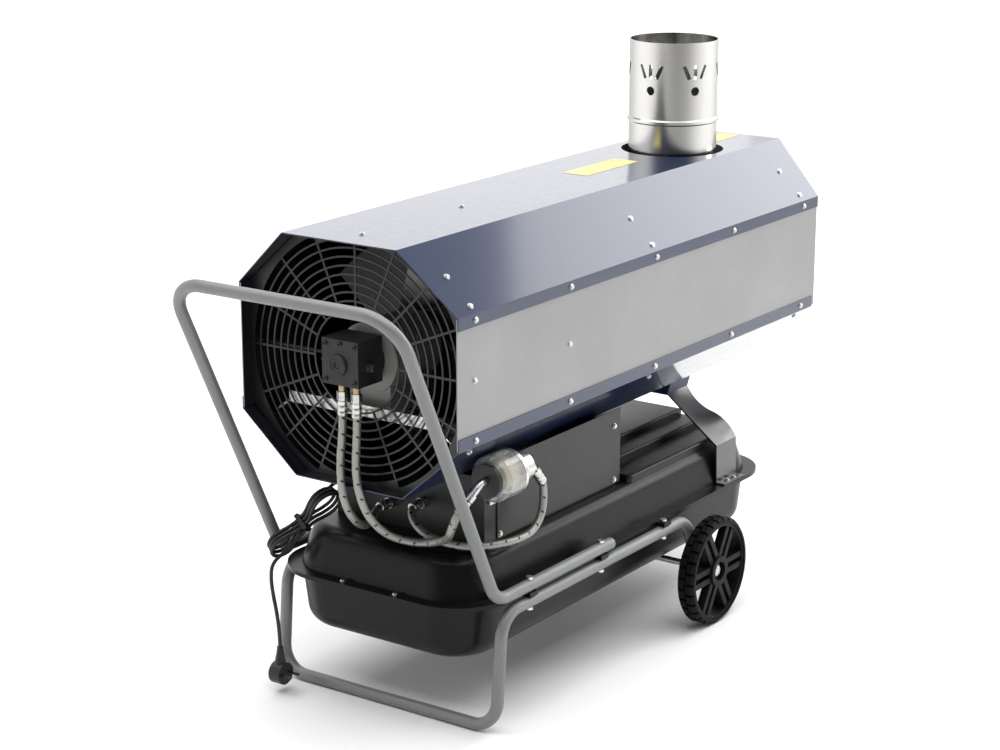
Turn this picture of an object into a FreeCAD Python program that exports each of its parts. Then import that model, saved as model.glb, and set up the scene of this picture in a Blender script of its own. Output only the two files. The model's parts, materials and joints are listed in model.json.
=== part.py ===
import FreeCAD, Part
import math
import os

import Sketcher
from FreeCAD import Placement, Rotation, Vector

# Indirect-fired diesel heater, in millimetres.
# +X is the way the air flows, +Z is up, and the origin is on the ground under the middle of the box.

# Driving dimensions, kept in the sheet
DIMENSIONS = {
    # Housing, a chamfered rectangle along X
    "housing_half_width": 212,
    "housing_front": -500,
    "housing_length": 1130,
    "housing_top": 786,
    "upper_corner": 693,
    "lower_corner": 486,
    "housing_bottom": 394,
    "top_flat": 110,
    "bottom_flat": 105,
    "shell_sheet": 2,
    "panel_sheet": 2,
    "shell_flange": 20,
    "front_overhang": 15,
    "rear_overhang": 32,
    "lower_cut_back": 10,
    "fit_gap": 0.3,
    # Intake guard
    "guard_recess": 25,
    "guard_sheet": 2,
    "guard_hole": 80,
    "guard_pitch": 13.8,
    "guard_bar": 3,
    "guard_spoke": 3.5,
    "guard_reach": 208,
    # Outlet end
    "outlet_recess": 30,
    "outlet_radius": 150,
    "spigot_sheet": 2,
    "spigot_length": 63,
    "spigot_flange": 15,
    # Flue
    "flue_radius": 80,
    "flue_sheet": 1.5,
    "flue_top": 986,
    "flue_set_back": 172,
    "flue_clearance": 13,
    "flue_bead_height": 57,
    "flue_bead": 2.5,
    "flue_slot_drop": 52,
    "flue_slot_length": 26,
    "flue_slot_width": 7,
    "flue_hole": 8,
    # Combustion chamber and heat exchanger
    "chamber_radius": 125,
    "chamber_wall": 2.5,
    "chamber_set_back": 350,
    "chamber_length": 680,
    "exchanger_inner": 145,
    "exchanger_outer": 172,
    "exchanger_wall": 2,
    "exchanger_length": 528,
    "port_width": 40,
    "cradle_sheet": 3,
    "cradle_half_width": 100,
    "cradle_inset": 40,
    # Burner and fan drive
    "burner_radius": 50,
    "burner_wall": 2,
    "burner_length": 115,
    "burner_depth": 50,
    "burner_flange": 20,
    "nozzle_radius": 9,
    "nozzle_length": 70,
    "deflector_sheet": 3,
    "shaft_radius": 7,
    "shaft_gap": 0.05,
    "motor_radius": 56,
    "motor_length": 115,
    "motor_set_back": 55,
    "motor_foot_half_width": 40,
    "bar_level": 500,
    "bar_sheet": 3,
    "bar_depth": 60,
    "bar_lip": 18,
    "bar_reach": 146,
    "fan_radius": 178,
    "fan_hub": 40,
    "fan_width": 60,
    "fan_blade_chord": 110,
    "fan_blade_sheet": 3,
    "fan_pitch_angle": 32,
    # Fuel pump
    "pump_width": 70,
    "pump_height": 72,
    "pump_depth": 60,
    "pump_neck": 32,
    "pump_neck_length": 10,
    "coupling_radius": 14,
    "nipple_radius": 6,
    "nipple_length": 10,
    "nut_radius": 9,
    "nut_length": 14,
    "nipple_pitch": 28,
    "nipple_shift": -12,
    "nipple_inset": 7,
    # Control box under the housing
    "box_front": -345,
    "box_length": 385,
    "box_half_width": 148,
    "box_sheet": 2,
    "cover_front": -312,
    "cover_lap": 12,
    "cover_top": 415,
    "cover_foot": 3,
    "cover_window_edge": 14,
    "plate_length": 180,
    "plate_height": 76,
    "plate_sheet": 2,
    "knob_radius": 17,
    "knob_length": 16,
    "knob_shaft": 4,
    "button_radius": 7,
    "button_length": 14,
    "button_travel": 3,
    "lamp_radius": 6,
    # Tank
    "tank_front": -465,
    "tank_length": 966,
    "tank_half_width": 208,
    "flange_sheet": 3.5,
    "flange_width": 22,
    "flange_corner": 95,
    "tank_corner": 80,
    "tank_wall": 2,
    "tank_rise": 68,
    "tank_top_inset": 16,
    "tank_top_round": 28,
    "tank_depth": 97,
    "tank_bottom_inset": 8,
    "tank_bottom_round": 34,
    "step_gap": 22,
    "step_end": 422,
    "step_rise": 10,
    "step_half_width": 164,
    "ridge_half_width": 105,
    "crest_half_width": 58,
    "filler_set_back": 130,
    "filler_y": 135,
    "filler_radius": 22,
    "filler_wall": 3,
    "filler_height": 30,
    "cap_radius": 27,
    "cap_height": 10,
    "cap_skirt": 14,
    "gauge_offset": 70,
    "gauge_radius": 18,
    "drain_radius": 10,
    "drain_length": 8,
    # Rear saddle and its block
    "saddle_set_back": 183,
    "saddle_width": 70,
    "saddle_sheet": 3,
    "saddle_top": 366,
    "saddle_flat": 84,
    "shoulder_y": 188,
    "shoulder_z": 286,
    "saddle_sag": 7,
    "skirt_y": 190,
    "saddle_foot": 16,
    "block_flare": 8,
    # Tube frame
    "frame_half_width": 216,
    "tube_radius": 10,
    "tube_wall": 1.5,
    "leg_rail_z": 197,
    "leg_front": -394,
    "leg_lean": 16,
    "leg_rear_run": 46,
    "leg_bend": 45,
    "handle_rail_end": -80,
    "handle_corner": -411,
    "handle_rise": 499.5,
    "handle_reach": 244,
    "handle_low_bend": 48,
    "handle_top_bend": 65,
    "cap_lip": 3,
    "bolt_radius": 4,
    "bolt_head": 5.8,
    "bolt_head_height": 4,
    "bolt_gap": 0.3,
    "ear_width": 22,
    "ear_margin": 9,
    "first_bolt": -318,
    "second_bolt": -110,
    "third_bolt": 90,
    # Wheels
    "wheel_radius": 96,
    "wheel_width": 33,
    "axle_x": 210,
    "axle_radius": 6,
    "axle_tail": 14,
    "rim_radius": 86,
    "rim_ring": 5,
    "hub_radius": 27,
    "hub_recess": 10,
    "recess_radius": 17,
    "spoke_width": 10,
    "spoke_pitch": 19,
    "spoke_inset": 4,
    "spoke_depth": 15,
    "washer_radius": 12,
    "washer_sheet": 3.2,
    "tread_depth": 5,
    "tread_gap": 5,
    "tyre_shoulder": 5,
    # Fuel filter
    "filter_x": -393,
    "filter_y": -190,
    "filter_z": 412,
    "bowl_radius": 38,
    "bowl_length": 48,
    "bowl_wall": 2.5,
    "ring_radius": 27,
    "ring_length": 8,
    "head_radius": 24,
    "head_length": 45,
    "element_radius": 26,
    "element_length": 36,
    "bracket_width": 20,
    "bracket_sheet": 4,
    "elbow_radius": 7,
    "elbow_run": 16,
    "elbow_bend": 20,
    # Hoses and mains cord
    "hose_diameter": 13,
    "union_length": 12,
    "cord_diameter": 6.2,
    "gland_radius": 10,
    "gland_length": 22,
    "gland_y": 118,
    "gland_z": 352,
    "lead_out": 40,
    "lead_run": 36,
    "hank_run": 100,
    "hank_loop": 19,
    "hank_waist": 4.0,
    "hank_step": 3.8,
    "tie_width": 7,
    "tie_sheet": 1.6,
    "plug_radius": 18.5,
    "plug_thickness": 22,
    "plug_neck": 24,
    "pin_radius": 2.4,
    "pin_length": 19,
    "pin_pitch": 19,
    # Sheet-metal screws
    "screw_shank": 2,
    "screw_length": 7,
    "screw_head": 4.2,
    "screw_washer": 5.2,
    "screw_height": 2.3,
    "screw_first": 44,
    "screw_pitch": 258,
}

GUARD_SPOKES = 16
FAN_BLADES = 6
BAR_LEG_SLOPE = 0.72
FLUE_GROUPS = 6
FLUE_SLOT_FAN = 24
SPOKE_PAIRS = 6
TREAD_BLOCKS = 30
HANK_RUNS = 7

doc = FreeCAD.newDocument("heater")
sheet = doc.addObject("Spreadsheet::Sheet", "Dims")
for row, (alias, number) in enumerate(DIMENSIONS.items(), 1):
    sheet.set(f"A{row}", alias)
    sheet.set(f"B{row}", str(number))
    sheet.setAlias(f"B{row}", alias)
doc.recompute()


class Size:
    """A length from the sheet, or worked out from such lengths, with the formula that binds it."""

    def __init__(self, formula, number):
        self.formula = formula
        self.number = number

    def __float__(self):
        return self.number

    def __add__(self, other):
        other = size(other)
        return Size(f"({self.formula} + {other.formula})", self.number + other.number)

    def __sub__(self, other):
        other = size(other)
        return Size(f"({self.formula} - {other.formula})", self.number - other.number)

    def __rsub__(self, other):
        return size(other) - self

    def __mul__(self, other):
        other = size(other)
        return Size(f"({self.formula} * {other.formula})", self.number * other.number)

    def __truediv__(self, other):
        other = size(other)
        return Size(f"({self.formula} / {other.formula})", self.number / other.number)

    def __neg__(self):
        return self * -1

    __radd__ = __add__
    __rmul__ = __mul__


def size(value):
    """The value as a Size, whether it is a Size already or a plain number."""
    if isinstance(value, Size):
        return value
    return Size(f"({float(value)})", float(value))


def root(value):
    """Square root of a Size."""
    return Size(f"sqrt({value.formula})", math.sqrt(value.number))


class Dimensions:
    """Every driving dimension of the sheet as a Size, by its alias."""


D = Dimensions()
for alias in DIMENSIONS:
    setattr(D, alias, Size(f"Dims.{alias}", float(sheet.get(alias))))

AXES = {
    "x": Rotation(Vector(0, 1, 0), 90),
    "-x": Rotation(Vector(0, 1, 0), -90),
    "y": Rotation(Vector(1, 0, 0), -90),
    "-y": Rotation(Vector(1, 0, 0), 90),
    "z": Rotation(),
    "-z": Rotation(Vector(1, 0, 0), 180),
}
NODES = []


def keep(obj):
    """Lists a finished sub-part for writing."""
    NODES.append(obj)
    return obj


def bind(obj, name, value):
    obj.setExpression(name, size(value).formula)


def place(obj, at, rotation=Rotation()):
    """Turns an object, and binds its place to the sheet."""
    obj.Placement = Placement(Vector(), rotation)
    for axis, value in zip("xyz", at):
        bind(obj, f"Placement.Base.{axis}", value)
    return obj


def vector(x, y, z):
    return Vector(float(x), float(y), float(z))


def box(name, x, y, z):
    """A box from its low and high end on each axis."""
    obj = doc.addObject("Part::Box", name)
    for side, (low, high) in zip(("Length", "Width", "Height"), (x, y, z)):
        bind(obj, side, size(high) - low)
    return place(obj, (x[0], y[0], z[0]))


def cylinder(name, radius, length, at, axis):
    obj = doc.addObject("Part::Cylinder", name)
    bind(obj, "Radius", radius)
    bind(obj, "Height", length)
    return place(obj, at, AXES[axis])


def fuse(name, pieces):
    obj = doc.addObject("Part::MultiFuse", name)
    obj.Shapes = pieces
    return obj


def group(name, pieces):
    """Separate solids under one name."""
    obj = doc.addObject("Part::Compound", name)
    obj.Links = pieces
    return obj


def cut(name, base, tools):
    obj = doc.addObject("Part::Cut", name)
    obj.Base = base
    obj.Tool = tools[0] if len(tools) == 1 else fuse(f"{name}_tools", tools)
    return obj


def feature(name, shape):
    """A shape worked out in code from the sheet's values."""
    obj = doc.addObject("Part::Feature", name)
    obj.Shape = shape
    obj.Placement = Placement()
    return obj


def rounded(name, base, pick, radius):
    """Rounds the edges of a finished object that pick chooses."""
    doc.recompute()
    obj = doc.addObject("Part::Fillet", name)
    obj.Base = base
    edges = enumerate(base.Shape.Edges, 1)
    obj.Edges = [(number, float(radius), float(radius)) for number, edge in edges if pick(edge)]
    return obj


def rising(edge):
    return edge.BoundBox.ZLength > 1


def level_with(height):
    """Picks the edges that lie flat at a height."""
    def pick(edge):
        bounds = edge.BoundBox
        return abs(bounds.ZMin - float(height)) < 0.01 and abs(bounds.ZMax - float(height)) < 0.01
    return pick


def new_sketch(body, role):
    """A sketch on one of the body's own origin planes."""
    sketch = body.newObject("Sketcher::SketchObject", f"{body.Name}_sketch")
    plane = [item for item in body.Origin.OriginFeatures if item.Role == role][0]
    sketch.AttachmentSupport = (plane, [""])
    sketch.MapMode = "FlatFace"
    return sketch


def pin_point(sketch, geometry, position, point):
    """Holds a point of the sketch at a place given by the sheet."""
    for kind, value in zip(("DistanceX", "DistanceY"), point):
        rule = Sketcher.Constraint(kind, -1, 1, geometry, position, float(value))
        number = sketch.addConstraint(rule)
        sketch.setExpression(f"Constraints[{number}]", size(value).formula)


def polygon(sketch, points):
    """A closed outline through points, each held by the sheet."""
    corners = [vector(u, v, 0) for u, v in points]
    lines = []
    for start, end in zip(corners, corners[1:] + corners[:1]):
        lines.append(sketch.addGeometry(Part.LineSegment(start, end), False))
    for line, following in zip(lines, lines[1:] + lines[:1]):
        sketch.addConstraint(Sketcher.Constraint("Coincident", line, 2, following, 1))
    for line, point in zip(lines, points):
        pin_point(sketch, line, 1, point)


def prism(name, role, points, low, high):
    """An outline on an origin plane, carried from low to high along that plane's axis."""
    body = doc.addObject("PartDesign::Body", name)
    sketch = new_sketch(body, role)
    polygon(sketch, points)
    facing_back = role == "XZ_Plane"
    bind(sketch, "AttachmentOffset.Base.z", -size(low) if facing_back else low)
    pad = body.newObject("PartDesign::Pad", f"{name}_pad")
    pad.Profile = sketch
    pad.Reversed = facing_back
    bind(pad, "Length", size(high) - low)
    return body


def turned(name, profile, at, axis):
    """A profile of (radius, height) points turned about the axis through a place."""
    body = doc.addObject("PartDesign::Body", name)
    sketch = new_sketch(body, "XZ_Plane")
    polygon(sketch, profile)
    revolution = body.newObject("PartDesign::Revolution", f"{name}_turn")
    revolution.Profile = sketch
    revolution.ReferenceAxis = (sketch, ["V_Axis"])
    revolution.Angle = 360
    return place(body, at, AXES[axis])


def ring(name, inner, outer, length, at, axis):
    profile = [(inner, 0), (outer, 0), (outer, length), (inner, length)]
    return turned(name, profile, at, axis)


# Paths of straight runs and tangent arcs
def bend_path(points, radii):
    edges = []
    start = points[0]
    for before, corner, after, radius in zip(points, points[1:], points[2:], radii):
        way_in = (corner - before).normalize()
        way_out = (after - corner).normalize()
        half_turn = way_in.getAngle(way_out) / 2
        setback = radius * math.tan(half_turn)
        inward = (way_out - way_in).normalize()
        arc_start = corner - way_in * setback
        arc_end = corner + way_out * setback
        middle = corner + inward * (radius / math.cos(half_turn) - radius)
        edges.append(Part.LineSegment(start, arc_start).toShape())
        edges.append(Part.Arc(arc_start, middle, arc_end).toShape())
        start = arc_end
    edges.append(Part.LineSegment(start, points[-1]).toShape())
    return Part.Wire(edges)


def sweep(path, start, direction, radius):
    """A round bar of one radius along a path."""
    circle = Part.Wire([Part.makeCircle(float(radius), start, direction)])
    return path.makePipeShell([circle], True, False)


def bent_tube(points, radii, radius, wall):
    """A hollow tube along straight runs and bends."""
    path = bend_path(points, radii)
    direction = points[1] - points[0]
    bore = sweep(path, points[0], direction, float(radius) - float(wall))
    return sweep(path, points[0], direction, radius).cut(bore)


RUN_SHARE = 0.45


def loose_radii(points):
    """The largest arcs that a hanging cord's runs allow at its points."""
    radii = []
    for before, corner, after in zip(points, points[1:], points[2:]):
        way_in = corner - before
        way_out = after - corner
        half_turn = way_in.getAngle(way_out) / 2
        radii.append(RUN_SHARE * min(way_in.Length, way_out.Length) / math.tan(half_turn))
    return radii


def hanging_tube(name, points, diameter):
    """A hose or cord along a route of points, with its radii and volume printed."""
    radii = loose_radii(points)
    path = bend_path(points, radii)
    radius = float(diameter) / 2
    solid = sweep(path, points[0], points[1] - points[0], radius)
    ratio = solid.Volume / (math.pi * radius ** 2 * path.Length)
    print(name, "length", round(path.Length, 1), "volume ratio", round(ratio, 4))
    print("  radii", [round(value) for value in radii])
    return keep(feature(name, solid))


# Screws: heads on the sheet, shanks in holes of the same list
def screw_solid(at, outward):
    """A washer-head screw whose head sits at a point and looks outward."""
    inward = outward * -1
    washer = float(D.screw_height) / 3
    shank = Part.makeCylinder(float(D.screw_shank), float(D.screw_length), at, inward)
    flange = Part.makeCylinder(float(D.screw_washer), washer, at, outward)
    head = Part.makeCone(float(D.screw_head), float(D.screw_head) * 0.8, float(D.screw_height),
                         at + outward * washer, outward)
    return shank.fuse([flange, head]).removeSplitter()


def screw_hole(at, outward):
    radius = float(D.screw_shank + D.fit_gap)
    depth = float(D.screw_length) + 1
    return Part.makeCylinder(radius, depth + 1, at + outward, outward * -1)


def screw_set(name, places):
    """The screws at a list of (point, outward) places; gives the holes that they need."""
    keep(feature(name, Part.makeCompound([screw_solid(*item) for item in places])))
    return feature(f"{name}_holes", Part.makeCompound([screw_hole(*item) for item in places]))


# Levels and stations that several sub-parts share
axis_z = (D.upper_corner + D.lower_corner) / 2
housing_end = D.housing_front + D.housing_length
panel_outer = D.housing_half_width - D.shell_sheet
panel_inner = panel_outer - D.panel_sheet
flue_x = housing_end - D.flue_set_back
guard_x = D.housing_front + D.guard_recess
axle_half_length = (D.frame_half_width + D.tube_radius + D.washer_sheet * 2 + D.wheel_width
                    - D.hub_recess)
outlet_x = housing_end - D.outlet_recess
seam_z = D.leg_rail_z + D.tube_radius + D.flange_sheet
flange_top = seam_z + D.flange_sheet
flange_low = seam_z - D.flange_sheet
handle_rail_z = flange_top + D.tube_radius
tank_top = flange_top + D.tank_rise
step_top = tank_top + D.step_rise
ridge_top = step_top + D.step_rise
crest_top = ridge_top + D.step_rise
saddle_front = D.tank_front + D.tank_length - D.saddle_set_back
box_end = D.box_front + D.box_length
step_front = box_end + D.step_gap
filler_x = box_end + D.filler_set_back


def octagon(gap):
    """The housing's inner outline, drawn in by a gap: points (y, z) from the lower right, turning left."""
    side = panel_inner - gap
    top = D.housing_top - D.shell_sheet - gap
    bottom = D.housing_bottom + D.shell_sheet + gap
    high = D.upper_corner - gap
    low = D.lower_corner + gap + D.shell_sheet
    top_half = D.top_flat - D.shell_sheet
    bottom_half = D.bottom_flat - D.shell_sheet
    right = [(side, low), (side, high), (top_half, top)]
    left = [(-y, z) for y, z in reversed(right)]
    return [(bottom_half, bottom)] + right + left + [(-bottom_half, bottom)]


def mitre(across, along):
    """Tangent of half the angle at a fold whose slope runs across by along."""
    slope = root(across * across + along * along)
    return (slope - across) / along


def shell_outline(flat, level, corner, free_edge, sign):
    """The section of a folded shell, outside and then back along the inside."""
    across = D.housing_half_width - flat
    along = (level - corner) * sign
    at_flat = D.shell_sheet * mitre(across, along)
    at_corner = D.shell_sheet * mitre(along, across)
    outer = [(D.housing_half_width, free_edge), (D.housing_half_width, corner), (flat, level)]
    inner = [
        (panel_outer, free_edge),
        (panel_outer, corner - at_corner * sign),
        (flat - at_flat, level - D.shell_sheet * sign),
    ]
    mirrored_outer = [(-y, z) for y, z in reversed(outer)]
    mirrored_inner = [(-y, z) for y, z in inner]
    return outer + mirrored_outer + mirrored_inner + list(reversed(inner))


def housing_screw_places():
    """Screws of the housing: flange rows, chamfer rows, panel row and top row."""
    stations = [float(D.housing_front + D.screw_first + D.screw_pitch * count) for count in range(5)]
    half = float(D.housing_half_width)
    upper = float(D.upper_corner)
    lower = float(D.lower_corner)
    upper_slope = Vector(0, float(D.housing_top - D.upper_corner), half - float(D.top_flat)).normalize()
    lower_slope = Vector(0, float(D.lower_corner - D.housing_bottom), float(D.bottom_flat) - half).normalize()
    middle = float(D.shell_flange) / 2
    places = []

    def add(stations_used, y, z, outward):
        for x in stations_used:
            for side in (-1, 1):
                places.append((Vector(x, side * y, z), Vector(0, side * outward.y, outward.z)))

    def on_slope(share, corner_z, level, flat):
        return half + (flat - half) * share, corner_z + (level - corner_z) * share

    outward = Vector(0, 1, 0)
    add(stations, half, upper - middle, outward)
    add(stations, half, lower + middle, outward)
    add(stations[::2], *on_slope(0.1, upper, float(D.housing_top), float(D.top_flat)), upper_slope)
    add(stations[:1] + stations[2::2], *on_slope(0.52, upper, float(D.housing_top), float(D.top_flat)),
        upper_slope)
    add(stations[::2], *on_slope(0.12, lower, float(D.housing_bottom), float(D.bottom_flat)), lower_slope)
    add([stations[0], stations[1]], float(panel_outer), float(axis_z), outward)
    for x in stations[:2]:
        places.append((Vector(x, 0, float(D.housing_top)), Vector(0, 0, 1)))
    return places


def make_housing(holes):
    front = D.housing_front - D.front_overhang
    end = housing_end + D.rear_overhang
    upper = prism("upper_shell_sheet", "YZ_Plane",
                  shell_outline(D.top_flat, D.housing_top, D.upper_corner,
                                D.upper_corner - D.shell_flange, 1), front, end)
    flue_hole = cylinder("flue_opening", D.flue_radius + D.flue_clearance, D.shell_sheet * 3,
                         (flue_x, 0, D.housing_top - D.shell_sheet * 2), "z")
    corners = []
    for side in (-1, 1):
        for label, tip, shoulder, past in (("front", front, D.housing_front, front - 1),
                                           ("rear", end, housing_end, end + 1)):
            past_side = D.housing_half_width + 1
            outline = [
                (past, D.top_flat * side),
                (tip, D.top_flat * side),
                (shoulder, D.housing_half_width * side),
                (shoulder, past_side * side),
                (past, past_side * side),
            ]
            corners.append(prism(f"{label}_corner_{'left' if side > 0 else 'right'}", "XY_Plane", outline,
                                 D.upper_corner - D.shell_flange - 1, D.housing_top + 1))
    keep(cut("upper_shell", upper, [flue_hole, holes] + corners))
    lower = prism("lower_shell_sheet", "YZ_Plane",
                  shell_outline(D.bottom_flat, D.housing_bottom, D.lower_corner,
                                D.lower_corner + D.shell_flange, -1),
                  D.housing_front, housing_end - D.lower_cut_back)
    keep(cut("lower_shell", lower, [holes]))
    for label, low, high in (("right", -panel_outer, -panel_inner), ("left", panel_inner, panel_outer)):
        panel = box(f"side_panel_{label}_sheet", (D.housing_front, housing_end), (low, high),
                    (D.lower_corner + D.shell_sheet, D.upper_corner - D.shell_sheet))
        keep(cut(f"side_panel_{label}", panel, [holes]))


def slot_wire(inner, outer, start, end):
    """A slot between two radii and two angles of the guard, in its plane."""
    def at(radius, angle):
        return Vector(float(guard_x), radius * math.cos(angle), float(axis_z) + radius * math.sin(angle))
    middle = (start + end) / 2
    return Part.Wire([
        Part.Arc(at(outer, start), at(outer, middle), at(outer, end)).toShape(),
        Part.LineSegment(at(outer, end), at(inner, end)).toShape(),
        Part.Arc(at(inner, end), at(inner, middle), at(inner, start)).toShape(),
        Part.LineSegment(at(inner, start), at(outer, start)).toShape(),
    ])


def make_guard():
    """A plate with rings of slots about the pump hole, parted by straight spokes."""
    corners = [Vector(float(guard_x), float(y), float(z)) for y, z in octagon(D.fit_gap)]
    outline = Part.makePolygon(corners + corners[:1])
    hole = Part.Wire([Part.makeCircle(float(D.guard_hole), vector(guard_x, 0, axis_z), Vector(1, 0, 0))])
    plate_half_height = float(D.housing_top - D.housing_bottom) / 2 - float(D.shell_sheet + D.guard_spoke)
    slots = []
    pitch = float(D.guard_pitch)
    inner = float(D.guard_hole + D.guard_bar)
    while inner + pitch <= float(D.guard_reach):
        outer = inner + pitch - float(D.guard_bar)
        half_spoke = float(D.guard_spoke) / 2 / inner
        for count in range(GUARD_SPOKES):
            start = 2 * math.pi * count / GUARD_SPOKES + half_spoke
            end = 2 * math.pi * (count + 1) / GUARD_SPOKES - half_spoke
            top = max(abs(math.sin(start)), abs(math.sin(end)), abs(math.sin((start + end) / 2)))
            if outer * top < plate_half_height:
                slots.append(slot_wire(inner, outer, start, end))
        inner += pitch
    face = Part.Face([outline, hole] + slots, "Part::FaceMakerBullseye")
    keep(feature("intake_guard", face.extrude(Vector(float(D.guard_sheet), 0, 0))))


def make_outlet():
    plate = prism("outlet_plate_blank", "YZ_Plane", octagon(D.fit_gap), outlet_x, outlet_x + D.panel_sheet)
    bore = D.outlet_radius - D.spigot_sheet
    hole = cylinder("outlet_opening", bore, D.panel_sheet * 3, (outlet_x - D.panel_sheet, 0, axis_z), "x")
    keep(cut("outlet_plate", plate, [hole]))
    profile = [
        (bore, 0),
        (D.outlet_radius + D.spigot_flange, 0),
        (D.outlet_radius + D.spigot_flange, D.spigot_sheet),
        (D.outlet_radius, D.spigot_sheet),
        (D.outlet_radius, D.spigot_length),
        (bore, D.spigot_length),
    ]
    keep(turned("outlet_spigot", profile, (outlet_x + D.panel_sheet, 0, axis_z), "x"))


def make_heat_path():
    """Chamber, exchanger drum round it, cradles under the drum and the flue on top."""
    chamber_x = D.housing_front + D.chamber_set_back
    drum_end = flue_x + D.flue_radius + D.chamber_wall * 4
    drum_start = drum_end - D.exchanger_length
    radius = D.chamber_radius
    wall = D.chamber_wall
    mouth = D.burner_radius + D.fit_gap
    profile = [
        (mouth, 0), (radius, 0), (radius, D.chamber_length), (0, D.chamber_length),
        (0, D.chamber_length - wall), (radius - wall, D.chamber_length - wall), (radius - wall, wall),
        (mouth, wall),
    ]
    keep(turned("combustion_chamber", profile, (chamber_x, 0, axis_z), "x"))
    drum = ring("drum_blank", D.exchanger_inner, D.exchanger_outer, D.exchanger_length,
                (drum_start, 0, axis_z), "x")
    skin = D.exchanger_wall
    hollow = ring("drum_hollow", D.exchanger_inner + skin, D.exchanger_outer - skin,
                  D.exchanger_length - skin * 2, (drum_start + skin, 0, axis_z), "x")
    drum_shell = cut("drum_shell", drum, [hollow])
    half_port = D.port_width / 2
    port_x = (drum_end - D.port_width * 3, drum_end - D.port_width * 2)
    reach = D.exchanger_inner + skin / 2
    ports = box("port_bars", port_x, (-reach, reach), (axis_z - half_port, axis_z + half_port))
    clear = cylinder("port_clearance", radius + D.fit_gap, D.exchanger_length, (drum_start, 0, axis_z), "x")
    cradles = []
    for number, x in enumerate((drum_start + D.cradle_inset, drum_end - D.cradle_inset), 1):
        cradles.append(box(f"cradle_{number}", (x, x + D.cradle_sheet),
                           (-D.cradle_half_width, D.cradle_half_width),
                           (D.housing_bottom + D.shell_sheet, axis_z)))
    drum_room = cylinder("drum_room", D.exchanger_outer - skin / 2, D.exchanger_length * 2,
                         (drum_start - D.exchanger_length / 2, 0, axis_z), "x")
    feet = cut("exchanger_feet", group("cradle_blanks", cradles), [drum_room])
    flue_port = cylinder("flue_port", D.flue_radius - D.flue_bead * 4, D.exchanger_outer - D.exchanger_inner,
                         (flue_x, 0, axis_z + D.exchanger_inner + skin * 2), "z")
    drum_with_port = cut("drum_with_port", drum_shell, [flue_port])
    keep(fuse("heat_exchanger", [drum_with_port, cut("exchanger_ports", ports, [clear]), feet]))
    make_flue(cylinder("flue_seat", D.exchanger_outer + D.fit_gap, D.exchanger_length * 2,
                       (drum_start - D.exchanger_length / 2, 0, axis_z), "x"))


def make_flue(seat):
    """A tube with a rolled bead, and groups of fanned slots over a round hole."""
    outer = D.flue_radius
    bore = outer - D.flue_sheet
    foot = axis_z + D.chamber_radius
    bead = D.housing_top + D.flue_bead_height - foot
    swell = outer + D.flue_bead
    profile = [
        (bore, 0), (outer, 0), (outer, bead - D.flue_bead * 2), (swell, bead - D.flue_bead),
        (swell, bead + D.flue_bead), (outer, bead + D.flue_bead * 2), (outer, D.flue_top - foot),
        (bore, D.flue_top - foot),
    ]
    tube = turned("flue_tube", profile, (flue_x, 0, foot), "z")
    tools = []
    slot_middle = float(D.flue_top - D.flue_slot_drop)
    hole_level = slot_middle - float(D.flue_slot_length) * 1.3
    depth = float(outer) * 0.5
    for count in range(FLUE_GROUPS):
        heading = 360 * count / FLUE_GROUPS
        slots = Part.makeCylinder(float(D.flue_hole), depth, Vector(float(outer) - depth / 2, 0, hole_level),
                                  Vector(1, 0, 0))
        blades = []
        for lean in (-1, 0, 1):
            half_width = float(D.flue_slot_width) / 2
            half_length = float(D.flue_slot_length) / 2
            blade = Part.makeBox(depth, half_width * 2, half_length * 2,
                                 Vector(float(outer) - depth / 2, -half_width, slot_middle - half_length))
            blade.rotate(Vector(0, 0, slot_middle), Vector(1, 0, 0), lean * FLUE_SLOT_FAN)
            blade.rotate(Vector(), Vector(0, 0, 1), -lean * FLUE_SLOT_FAN / 2)
            blades.append(blade)
        for tool in [slots] + blades:
            tool.rotate(Vector(), Vector(0, 0, 1), heading)
            tool.translate(vector(flue_x, 0, 0))
            tools.append(tool)
    openings = feature("flue_openings", Part.makeCompound(tools))
    keep(cut("flue_stub", tube, [seat, openings]))


def make_burner():
    chamber_x = D.housing_front + D.chamber_set_back
    start = D.burner_length - D.burner_depth
    outer = D.burner_radius
    bore = outer - D.burner_wall
    profile = [
        (bore, 0), (outer, 0), (outer, start - D.burner_wall * 2),
        (outer + D.burner_flange, start - D.burner_wall * 2), (outer + D.burner_flange, start),
        (outer, start), (outer, D.burner_length), (bore, D.burner_length),
    ]
    tube_x = chamber_x - start
    tube = turned("burner_tube_blank", profile, (tube_x, 0, axis_z), "x")
    line_hole = cylinder("line_opening", D.elbow_radius / 2 + D.fit_gap, outer,
                         (tube_x + D.nozzle_radius * 2, outer / 2, axis_z), "y")
    keep(cut("burner_tube", tube, [line_hole]))
    disc = bore - D.fit_gap
    nozzle_end = D.nozzle_length
    nozzle = [
        (0, 0), (D.nozzle_radius, 0), (D.nozzle_radius, nozzle_end - D.deflector_sheet),
        (disc, nozzle_end - D.deflector_sheet), (disc, nozzle_end), (D.nozzle_radius / 2, nozzle_end),
        (0, nozzle_end + D.nozzle_radius / 2),
    ]
    nozzle_x = tube_x + D.nozzle_radius
    keep(turned("burner_nozzle", nozzle, (nozzle_x, 0, axis_z), "x"))
    make_nozzle_line(float(tube_x + D.nozzle_radius * 2))


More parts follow.
